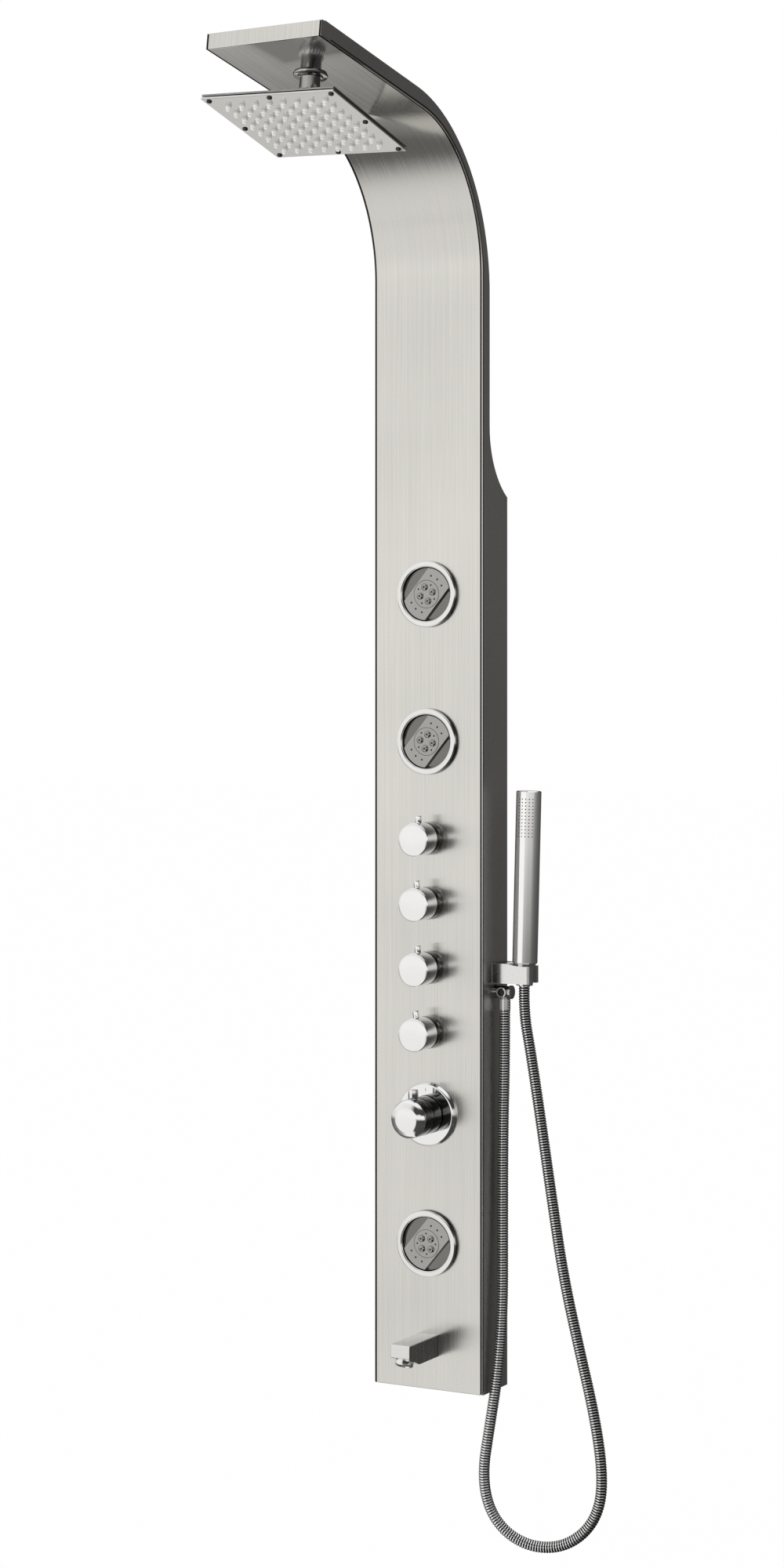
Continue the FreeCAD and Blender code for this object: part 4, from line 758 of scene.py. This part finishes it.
# ---------------- knobs and mixer
@dataclass
class DiverterKnob:
    """A round chrome knob on its collar, with a lever pin that stands up from its barrel."""

    name: str
    level: float
    turned: float
    radius: float = 21.0
    low: float = 6.0
    high: float = 41.0
    joint: float = 14.6

    def body(self) -> Surface:
        """The knob: a straight barrel with a narrow joint round it, an eased rim and a crowned cap.

        Returns:
            The surface, with finish 1, a painted dark reflection, on the barrel and 2, a painted shadow, in
            the joint.
        """
        r, low, high, gap = self.radius, self.low, self.high, self.joint
        crown = [(r - 0.75, high - 0.15), (r - 3.0, high + 0.35), (r - 8.0, high + 0.85),
                 (r - 14.0, high + 1.12), (0.0, high + 1.2)]
        notch = [(r, gap - 0.45), (r - 0.8, gap - 0.4), (r - 0.8, gap + 0.4), (r, gap + 0.45)]
        shape = lathed([(0.0, low), (r - 0.8, low), (r, low + 0.8), *notch, (r, high - 0.9), *crown], 0.25,
                       112)
        return banded(banded(shape, low + 0.3, high - 1.2, 1), gap - 0.5, gap + 0.5, 2)

    def pin(self) -> Surface:
        """The lever pin: a short rod with a rounded end, standing up from the barrel."""
        pin = lathed([(0.0, -0.9), (4.1, -0.9), (4.1, 7.8), (3.4, 8.6), (0.0, 8.6)], 0.6, 40)
        return pin.placed(shift(0, self.radius + 0.1, 26) @ turn("x", -90))

    def build(self) -> None:
        """Makes the knob and its collar."""
        place = on_sheet(self.level) @ turn("z", self.turned)
        Bench.piece(f"{self.name}_handle_knob", [self.body().placed(place), self.pin().placed(place)],
                    [Finishes.CHROME, Finishes.BARREL_DARK_REFLECTION, Finishes.SEAM_SHADOW], f"{self.name}_handle", "chrome",
                    (f"{self.name}_knob",))
        collar = lathed([(10.9, 0.0), (14.5, 0.0), (14.5, 3.2), (13.0, 4.6), (10.9, 4.6)], 0.5, 72, ring=True)
        Bench.piece(f"{self.name}_collar", [collar.placed(on_sheet(self.level))],
                    [Finishes.CHROME], "panel", "chrome", ("knob_collars",))
        Bench.dress(Finishes.BRASS, f"{self.name}_spindle")


@dataclass
class Mixer:
    """The hot and cold mixer: dial plate with its marks, stop ring, knob with a stout pin, and brass body."""

    level: float = -721.0
    plate: float = 41.0
    barrel: float = 24.5

    def marks(self) -> list[Surface]:
        """Plain ticks on the dial plate, longer at the middle and the ends of the knob's travel."""
        ticks = []
        for degrees in range(-60, 61, 20):
            length = 2.0 if degrees % 60 else 3.4
            tick = bar(squared(0.55, length, 0.1), 6.55, 6.72, 0.05, 2, finish=1)
            ticks.append(tick.placed(turn("z", degrees) @ shift(0, 33.4 - length / 2, 0.45)))
        return ticks

    def build(self) -> None:
        """Makes the visible round parts and dresses the brass behind them."""
        place = on_sheet(self.level)
        r, b = self.plate, self.barrel
        disc = lathed([(17.55, 0.0), (r, 0.0), (r, 3.0), (r - 2.5, 6.5), (r - 4.0, 7.0), (17.55, 7.0)], 0.7,
                      128, 4, ring=True, flats=True)
        Bench.piece("mixer_dial", [disc.placed(place), *(mark.placed(place) for mark in self.marks())],
                    [Finishes.CHROME, Finishes.MARK], "panel", "chrome", ("mixer_plate",))
        # The stop ring and the knob's barrel wear the near-black chrome of a painted dark reflection.
        stop = lathed([(12.0, 9.2), (b - 0.6, 9.2), (b, 9.8), (b, 29.8), (b - 0.6, 30.4), (12.0, 30.4)], 0.5,
                      112, ring=True)
        Bench.piece("mixer_ring", [stop.placed(place)], [Finishes.BARREL_DARK_REFLECTION], "panel", "chrome",
                    ("mixer_stop_ring",))
        crown = [(b, 52.6), (b - 0.7, 54.2), (b - 3.5, 56.8), (b - 9.0, 59.6), (b - 17.0, 61.0), (0.0, 61.2)]
        barrel = banded(lathed([(0.0, 31.2), (b - 0.6, 31.2), (b, 31.8), *crown], 1.4, 112, 4), 31.3, 52.0, 1)
        stem = lathed([(0.0, 9.6), (11.9, 9.6), (11.9, 31.4), (0.0, 31.4)], 0.3, 48)
        pin = lathed([(0.0, -1.2), (6.4, -1.2), (6.4, 10.4), (5.4, 11.4), (0.0, 11.4)], 0.8, 56)
        pin = pin.placed(shift(0, b + 0.1, 40) @ turn("x", -90))
        Bench.piece("mixer_handle_knob", [s.placed(place) for s in (barrel, stem, pin)],
                    [Finishes.CHROME, Finishes.BARREL_DARK_REFLECTION], "mixer_handle", "chrome", ("mixer_knob",))
        Bench.dress(Finishes.BRASS, "mixer_body", "mixer_spindle", "manifold", "valve_lock_nuts",
                    "riser_pipe", "arm_elbow")
        Bench.dress(Finishes.PLASTIC, "valve_cartridges", "jet_cups", "swivel_seat")
        Bench.dress(Finishes.PIPE, "overhead_pipe", "outlet_pipes")


# ---------------- spout
@dataclass
class BathSpout:
    """The square spout: a bar with a rising nose, and the aerator let into the slanted face."""

    half: float = 13.7
    front: float = SHEET_FACE
    nose: float = -145.0
    top: float = -1000.0
    low: float = -1028.0
    rise: float = 11.5

    def build(self) -> None:
        """Makes the bar and the aerator."""
        root = self.front + 0.2
        outline = eased([(self.nose, self.low + self.rise), (self.front - 48, self.low), (root, self.low),
                         (root, self.top), (self.nose, self.top)], (0.9, 0.6, 0.1, 0.1, 0.9), 4, loop=True)
        shape = bar(outline, -self.half, self.half, 0.8)
        points = shape.points[:, [2, 0, 1]]
        # Painted shade: the spout's two sides wear the darker chrome of a painted dark reflection.
        shaded_flanks = np.r_[np.zeros(len(shape.faces) - 2, int), 1, 1]
        Bench.piece("bath_spout", [Surface(points, shape.faces, shaded_flanks)], [Finishes.SPOUT, Finishes.NECK_DARK_REFLECTION],
                    "panel", "chrome", ("spout",))
        rim = lathed([(9.3, -1.0), (11.4, -1.0), (11.5, 5.4), (10.9, 6.5), (9.9, 6.6), (9.2, 5.2)], 0.3, 64,
                     ring=True)
        # The aerator's core is painted dark as shade.
        core = lathed([(0.0, 4.6), (9.35, 4.6), (9.35, 1.0), (0.0, 1.0)], 0.2, 48, finish=1)
        bars = [bar(squared(17.6, 0.5, 0.1), 4.55, 5.2, 0.1, 2, 2).placed(turn("z", a) @ shift(0, y, 0))
                for a in (0, 90) for y in (-6, -3, 0, 3, 6)]
        bars = [b for b in bars if np.linalg.norm(b.points[:, :2], axis=1).max() < 10.4]
        slant = math.degrees(math.atan2(self.rise, 27.0))
        tilt = shift(0, self.nose + 13, self.low + 5.6) @ turn("x", 180 - slant)
        Bench.piece("spout_aerator", [s.placed(tilt) for s in (rim, core, *bars)],
                    [Finishes.CHROME, Finishes.HOLLOW_SHADE, Finishes.PLASTIC], "panel", "chrome", ("aerator",))


# ---------------- overhead shower
@dataclass
class OverheadShower:
    """The pipe stub and swivel under the arm, and the square head with its rows of silicone nozzles."""

    root: tuple[float, float] = (-366.828, 543.315)
    drop: float = 33.0
    side: float = 180.0
    plate: float = 2.4
    mat: float = 1.2
    hang: float = 29.8
    pitch: float = 18.8
    screw: float = 82.5

    def plates(self) -> tuple[Surface, Surface, Surface]:
        """Top plate, mat and face plate, squares whose corners and rims are eased."""
        z = self.hang - 2 * self.plate - self.mat
        top = bar(squared(self.side - 0.6, self.side - 0.6, 1.6), z, z + self.plate, 0.5)
        top_of_mat = z + self.plate
        mat = bar(squared(self.side - 30, self.side - 30, 1.0), top_of_mat, top_of_mat + self.mat, 0.2, 2)
        face = bar(squared(self.side, self.side, 1.8), self.hang - self.plate, self.hang, 0.55)
        return top, mat, face

    def nozzles(self) -> list[Surface]:
        """Eight rows of eight soft nozzles, each a collar with an eased shoulder and a thinner tip."""
        low = self.hang
        one = lathed([(3.5, low - 1.0), (3.5, low + 2.6), (3.0, low + 3.1), (2.5, low + 3.2),
                      (2.3, low + 5.8), (1.8, low + 6.0), (0.8, low + 5.9), (0.6, low + 4.8),
                      (0.0, low + 4.7)], 0.15, 14, 1)
        steps = (np.arange(8) - 3.5) * self.pitch
        return [one.placed(shift(x, y, 0)) for x in steps for y in steps]

    def screws(self) -> list[Surface]:
        """Eight screws with a round recess each, heads and recesses coloured dark as painted shade."""
        low = self.hang
        head = lathed([(2.4, low + 0.6), (2.45, low + 1.55), (2.7, low + 1.6), (3.2, low + 0.9), (3.3, low),
                       (2.4, low)], 0.12, 30, 2, ring=True)
        recess = lathed([(0.0, low + 1.2), (2.45, low + 1.2), (2.45, low + 0.1), (0.0, low + 0.1)], 0.1, 24,
                        1, finish=1)
        spots = [(i, j) for i in (-1, 0, 1) for j in (-1, 0, 1) if (i, j) != (0, 0)]
        return [s.placed(shift(i * self.screw, j * self.screw, 0)) for i, j in spots for s in (head, recess)]

    def build(self) -> None:
        """Makes the stub, the swivel and the head."""
        arm = shift(0, *self.root) @ ARM_DOWN
        stub = lathed([(0.0, -0.2), (21.0, 0.0), (20.2, 2.4), (16.0, 2.5), (14.5, 4.6), (12.5, 4.7),
                       (12.5, 21.0), (0.0, 21.0)], 0.45, 96, 4)
        nut = lathed([(0.0, 20.7), (14.0, 20.7), (14.6, 21.4), (14.6, 35.2), (11.2, 39.7), (8.8, 39.8),
                      (0.0, 39.0)], 0.6, 96, 4)
        ribs = [bar(squared(0.9, 1.5, 0.35), 22.6, 33.6, 0.3, 2).placed(turn("z", a) @ shift(0, 14.4, 0))
                for a in np.arange(0, 360, 15)]
        # The stub wears the darker chrome of a painted dark reflection.
        Bench.piece("arm_stub", [stub.placed(arm)], [Finishes.NECK_DARK_REFLECTION], "panel", "chrome", ("arm_nipple",))
        Bench.piece("ball_nut", [s.placed(arm) for s in (nut, *ribs)], [Finishes.CHROME], "panel", "chrome",
                    ("swivel_nut",))
        hang = arm @ shift(0, 0, self.drop) @ turn("x", -4.04) @ turn("y", -2.7)
        top, mat, face = self.plates()
        a = np.radians(np.linspace(-90, 48, 12))
        ball = [(9 * math.cos(v), 9 * math.sin(v)) for v in a]
        stem = lathed([*ball, (6.0, 7.4), (6.0, 14.6), (11.0, 14.8), (15.5, 19.8), (15.5, 21.3), (19.0, 21.4),
                       (19.0, 23.9), (0.0, 23.9)], 0.4, 96, 3)
        body, slot = "overhead_shower", "head_steel"
        Bench.piece("head_boss", [stem.placed(hang)], [Finishes.CHROME], body, "chrome", ("head_stem",))
        Bench.piece("head_upper_plate", [top.placed(hang)], [Finishes.PLATE], body, slot, ("head_top_plate",))
        Bench.piece("head_spray_plate", [face.placed(hang)], [Finishes.HEAD], body, slot,
                    ("head_face_plate",))
        Bench.piece("head_nozzles", [s.placed(hang) for s in (mat, *self.nozzles())], [Finishes.RUBBER], body,
                    "silicone", ("nozzle_mat",), crease=50)
        Bench.piece("head_plate_screws", [s.placed(hang) for s in self.screws()],
                    [Finishes.SHADE_METAL, Finishes.HOLLOW_SHADE], body, "chrome", ("head_screws",))


# ---------------- hand shower and hose
@dataclass
class HandShower:
    """The stick hand shower, a dark box painted as shadow at its holder's root, and the outlet elbow with a
    dark disc painted as shade in its recess.

    The block is the holder's front, back, low and high sides.
    """

    # The x span of the dark box painted as shadow at the holder's root.
    collar: tuple[float, float] = (77.6, 88.5)
    block: tuple[float, float, float, float] = (-43.2, -4.2, -553.4, -528.4)
    outlet: tuple[float, float, float] = (88.9, -38.2, -565.0)

    def build(self) -> None:
        """Dresses the nodes whose shapes stay, and makes the painted root shadow and the painted recess
        shade.
        """
        Bench.dress(Finishes.TUBE, "hand_shower_body", "hand_shower_cap", "hand_shower_nut")
        # The hand shower's spray face is painted dark with the hollows' shade finish.
        Bench.dress(Finishes.HOLLOW_SHADE, "hand_shower_spray")
        Bench.dress(Finishes.HOLDER, "handset_holder")
        # The hose outlet wears the darker chrome of a painted dark reflection.
        Bench.dress(Finishes.NECK_DARK_REFLECTION, "hose_outlet")
        Bench.dress(Finishes.CHROME, "hose_nut")
        front, back, low, high = self.block
        # Painted shadow: a dark box at the holder's root.
        root = bar(squared(back - front + 0.1, high - low + 0.1, 0.6), *self.collar, 0.3, 2)
        points = root.points[:, [2, 0, 1]] + (0, (front + back) / 2, (low + high) / 2)
        Bench.piece("holder_root_shadow", [Surface(points, root.faces)], [Finishes.SHADE_METAL], "panel",
                    "polished_side")
        # Painted shade: a dark disc in the outlet's recess.
        recess_disc = lathed([(0.0, 0.0), (4.7, 0.0), (4.7, 0.8), (3.2, 1.4), (0.0, 1.5)], 0.3, 40)
        Bench.piece("outlet_recess_shade", [recess_disc.placed(shift(*self.outlet) @ OUTWARD)], [Finishes.HOLLOW_SHADE],
                    "panel", "plastic")


@dataclass
class ShowerHose:
    """The interlocked steel hose, a smooth hanging line from the outlet round a loop and up to the shower."""

    radius: float = 7.0
    pitch: float = 3.3
    sides: int = 18
    route: tuple[tuple[float, float, float], ...] = (
        (89.5, -31.5, -589), (89.5, -31.5, -650), (87.5, -32.5, -745), (88.2, -34.5, -865), (91, -40, -965),
        (89, -50, -1045), (82.5, -61, -1112), (76, -67, -1167), (83.5, -66.5, -1210.5), (106.5, -62, -1241),
        (140.5, -54, -1256), (177.5, -45, -1252.5), (207.5, -37, -1230.5), (223, -31, -1196.5),
        (222.5, -27, -1150), (210, -24.5, -1085), (190, -23.5, -1010), (168, -24, -920), (151, -23.2, -820),
        (135.5, -23.8, -720), (122, -23.3, -640), (112.39, -23.7, -590), (113.28, -23.7, -555.99))

    def line(self) -> Array:
        """The route's NURBS spline, as a curve with no bevel gives it.

        Returns:
            Its points (n, 3), in metres.
        """
        curve = bpy.data.curves.new("hose_route", "CURVE")
        curve.dimensions = "3D"
        spline = curve.splines.new("NURBS")
        spline.points.add(len(self.route) - 1)
        rows = np.c_[np.array(self.route) * MM, np.ones(len(self.route))]
        spline.points.foreach_set("co", rows.ravel().tolist())
        spline.order_u = 3
        spline.use_endpoint_u = True
        spline.resolution_u = 32
        holder = bpy.data.objects.new("hose_route", curve)
        bpy.context.scene.collection.objects.link(holder)
        mesh = bpy.data.meshes.new_from_object(holder)
        points = np.zeros(len(mesh.vertices) * 3)
        mesh.vertices.foreach_get("co", points)
        bpy.data.objects.remove(holder)
        bpy.data.curves.remove(curve)
        bpy.data.meshes.remove(mesh)
        return points.reshape(-1, 3)

    def ribbed(self, line: Array, length: float) -> tuple[Surface, Array]:
        """The hose's surface: a rib's outline carried along the line.

        Over one pitch the radius follows a flat-topped rib with a groove after it, whose faces are painted
        dark as shade. A ring at a distance along the line stands on u = heading x Y and v = heading x u.

        Args:
            line: The line's points, in metres.
            length: The line's length, in metres.

        Returns:
            The surface, in millimetres, and each point's distance along the line as a share of it.
        """
        run = np.r_[0, np.cumsum(np.linalg.norm(np.diff(line, axis=0), axis=1))]
        ribs = int(length / (self.pitch * MM))
        share = np.array([0.0, 0.20, 0.32, 0.55, 0.78, 0.90])
        rise = np.array([-1.6, -0.30, -0.03, 0.0, -0.03, -0.30])
        at = (np.arange(ribs)[:, None] + share[None]).ravel() / ribs * length
        at = np.r_[at, length]
        radius = np.r_[np.tile(self.radius + rise, ribs), self.radius - 1.15]
        centre, ahead, behind = (np.stack([np.interp(at + step, run, line[:, k]) for k in range(3)], -1)
                                 for step in (0.0, 0.002, -0.002))
        heading = ahead - behind
        heading /= np.linalg.norm(heading, axis=1)[:, None]
        u = np.cross(heading, (0.0, 1.0, 0.0))
        u /= np.linalg.norm(u, axis=1)[:, None]
        v = np.cross(heading, u)
        angle = np.linspace(0, 2 * np.pi, self.sides, endpoint=False)
        round_ = u[:, None] * np.cos(angle)[None, :, None] + v[:, None] * np.sin(angle)[None, :, None]
        rings = centre[:, None] / MM + radius[:, None, None] * round_
        tube = stacked(rings)
        row = np.repeat(np.arange(len(at) - 1), self.sides) % 6
        # Painted shade: the groove rows and the shoulders beside them wear the dark groove finish.
        tube.finish = np.r_[np.isin(row, (0, 4, 5)).astype(int), 0, 0]
        return tube, np.repeat(at / length, self.sides)

    def build(self) -> None:
        """Makes the hose. Its points are laid out straight along z, each at its share of the length, the
        piece's place is baked into them, and then they are put back on the line.
        """
        line = self.line()
        length = float(np.linalg.norm(np.diff(line, axis=0), axis=1).sum())
        surface, share = self.ribbed(line, length)
        hose = Bench.piece("shower_hose", [surface], [Finishes.HOSE, Finishes.GROOVE_SHADE], None, "hose_steel",
                           ("hose",), crease=60, welded=False)
        shape = np.zeros(len(hose.data.vertices) * 3)
        hose.data.vertices.foreach_get("co", shape)
        straight = np.c_[np.zeros((len(share), 2)), share]
        hose.data.vertices.foreach_set("co", straight.ravel())
        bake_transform(hose)
        hose.data.vertices.foreach_set("co", shape)
        hose.data.update()
        LOG.info("hose length %.4f m", length)


# ---------------- studio
class Studio:
    """Camera, lamps, world and floor."""

    @staticmethod
    def camera() -> None:
        """The photograph's view: level, from the right and in front, with the horizon above the middle."""
        data = bpy.data.cameras.new("camera")
        data.lens = 67.43
        data.sensor_width = 36
        data.shift_y = -0.0565
        data.clip_end = 60
        camera = bpy.data.objects.new("camera", data)
        camera.location = (1.7427, -3.3668, -0.1895)
        camera.rotation_euler = (math.radians(90), 0, math.atan2(0.478, 0.878))
        bpy.context.scene.collection.objects.link(camera)
        bpy.context.scene.camera = camera

    @staticmethod
    def lamp(name: str, at: tuple[float, float, float], aim: tuple[float, float, float], size: float,
             power: float) -> None:
        """Adds a square soft lamp, hidden from gloss.

        Args:
            name: The lamp's name.
            at: Where it stands, in metres.
            aim: The point that it faces.
            size: Its side, in metres.
            power: Its power in watts.
        """
        data = bpy.data.lights.new(name, "AREA")
        data.shape = "SQUARE"
        data.size = size
        data.energy = power
        lamp = bpy.data.objects.new(name, data)
        lamp.location = at
        lamp.visible_glossy = False
        way = np.array(aim) - np.array(at)
        way /= np.linalg.norm(way)
        lamp.rotation_euler = (math.acos(-way[2]), 0, math.atan2(way[1], way[0]) - math.pi / 2)
        bpy.context.scene.collection.objects.link(lamp)

    @staticmethod
    def world() -> None:
        """A white studio: white to the camera, and to gloss a white room, dark at the right and behind.

        Ramps over the compass direction give the tones: one for level directions, one above it and two below,
        of which the deep one shows only in the band that the spray plate reflects. Overhead all turn white.
        """
        world = bpy.data.worlds.new("studio")
        bpy.context.scene.world = world
        world.use_nodes = True
        graph = Graph(world.node_tree)
        graph.nodes.clear()
        place = graph.add("TexCoord").outputs["Generated"]
        compass = graph.add("TexGradient", {"Vector": place}, gradient_type="RADIAL").outputs["Fac"]
        height = graph.add("SeparateXYZ", {"Vector": place}).outputs["Z"]

        def ring(*stops: tuple[float, float]) -> Socket:
            """A ramp over the compass.

            Args:
                stops: Each stop's direction, in degrees from +X towards +Y, and its tone.

            Returns:
                The ramp's colour.
            """
            ramp = graph.add("ValToRGB", {"Fac": compass})
            band = ramp.color_ramp
            for degrees, _ in stops[2:]:
                band.elements.new((degrees + 180) / 360)
            for element, (degrees, tone) in zip(band.elements, stops):
                element.position = (degrees + 180) / 360
                element.color = (tone, tone * 0.985, tone * 0.96, 1)
            return ramp.outputs["Color"]

        def mixed(low: float, high: float, under: Socket,
                  over: Socket | tuple[float, ...]) -> Socket:
            """Two tones mixed by the direction's height.

            Args:
                low: The height up to which only the first shows.
                high: The height from which only the second shows.
                under: The first tone.
                over: The second tone.

            Returns:
                The mixed tone.
            """
            tones = {"A": under, "B": over, "Factor": graph.ranged(height, low, high, smooth=True)}
            return graph.add("Mix", tones, data_type="RGBA").outputs["Result"]

        level = ring((-180, 0.8), (-150, 0.9), (-135, 1.0), (-22, 1.0), (0, 0.42), (28, 0.2), (60, 0.12),
                     (98, 0.07), (112, 0.5), (125, 0.75))
        above = ring((-180, 1.0), (-104, 0.85), (-94, 0.5), (-84, 0.06), (60, 0.04), (100, 0.05), (118, 0.3),
                     (150, 0.6))
        below = ring((-180, 0.12), (-160, 0.35), (-140, 0.95), (-97, 0.95), (-84, 0.07), (60, 0.055),
                     (100, 0.05), (120.5, 0.08), (125, 0.30), (150, 0.15))
        deep = ring((-180, 0.10), (-160, 0.30), (-142, 0.90), (-97, 0.90), (-84, 0.07), (94, 0.10),
                    (106, 0.74), (146, 0.74), (160, 0.12))
        white = (1, 1, 1, 1)
        room = mixed(-0.60, -0.53, below, deep)
        room = mixed(-0.478, -0.455, room, below)
        room = mixed(-0.17, 0.0, room, level)
        room = mixed(0.13, 0.28, room, above)
        room = mixed(0.6, 0.85, room, white)
        ray = graph.add("LightPath").outputs
        soft, gloss, plain = (graph.add("Background", {"Color": tone, "Strength": strength}).outputs[0]
                              for tone, strength in ((white, 0.85), (room, 1.0), (white, 1.0)))
        lit = graph.add("MixShader", {"Fac": ray["Is Glossy Ray"], 1: soft, 2: gloss}).outputs[0]
        seen = graph.maths("MAXIMUM", ray["Is Camera Ray"], ray["Is Transmission Ray"])
        shown = graph.add("MixShader", {"Fac": seen, 1: lit, 2: plain}).outputs[0]
        graph.add("OutputWorld", {"Surface": shown})

    @staticmethod
    def floor() -> None:
        """A pale floor, white to the camera but for a faint shadow. Gloss sees the room instead."""
        reach, level = 30, -1.30
        corners = [(x * reach, y * reach, level) for x, y in ((-1, -1), (1, -1), (1, 1), (-1, 1))]
        mesh = bpy.data.meshes.new("floor")
        mesh.from_pydata(corners, [], [(0, 1, 2, 3)])
        material = bpy.data.materials.new("pale_floor")
        material.use_nodes = True
        graph = Graph(material.node_tree)
        shader = graph.nodes["Principled BSDF"]
        graph.fill(shader, {"Base Color": (0.86, 0.86, 0.85, 1), "Roughness": 0.8})
        share = graph.maths("MULTIPLY", graph.add("LightPath").outputs["Is Camera Ray"], 0.985)
        glow = graph.add("Emission").outputs[0]
        mix = graph.add("MixShader", {"Fac": share, 1: shader.outputs[0], 2: glow})
        graph.fill(graph.nodes["Material Output"], {"Surface": mix.outputs[0]})
        mesh.materials.append(material)
        floor = bpy.data.objects.new("floor", mesh)
        floor.visible_glossy = False
        bpy.context.scene.collection.objects.link(floor)

    def build(self) -> None:
        """Sets up the whole studio."""
        view = bpy.context.scene.view_settings
        view.view_transform = "Standard"
        self.camera()
        self.world()
        self.floor()
        self.lamp("key", (-2.6, -3.0, 2.4), (0, 0, -0.5), 1.8, 40)
        self.lamp("low", (-0.9, -2.0, -1.1), (0, -0.37, 0.4), 1.2, 14)


def main() -> None:
    """Builds the whole panel."""
    logging.basicConfig(level=logging.INFO, format="%(name)s: %(message)s")
    Studio().build()
    ShowerHose().build()
    SteelCase().build()
    for letter, level, angle in zip("abc", JET_LEVELS, (0.0, -27.0, 31.0)):
        BodyJet(letter, level, angle).build()
    for i, (name, angle) in enumerate((("overhead", 0), ("jets", 5), ("handset", 2), ("spout", 8))):
        DiverterKnob(name, KNOB_TOP - KNOB_PITCH * i, angle).build()
    Mixer().build()
    BathSpout().build()
    OverheadShower().build()
    HandShower().build()


if __name__ == "__main__":
    main()
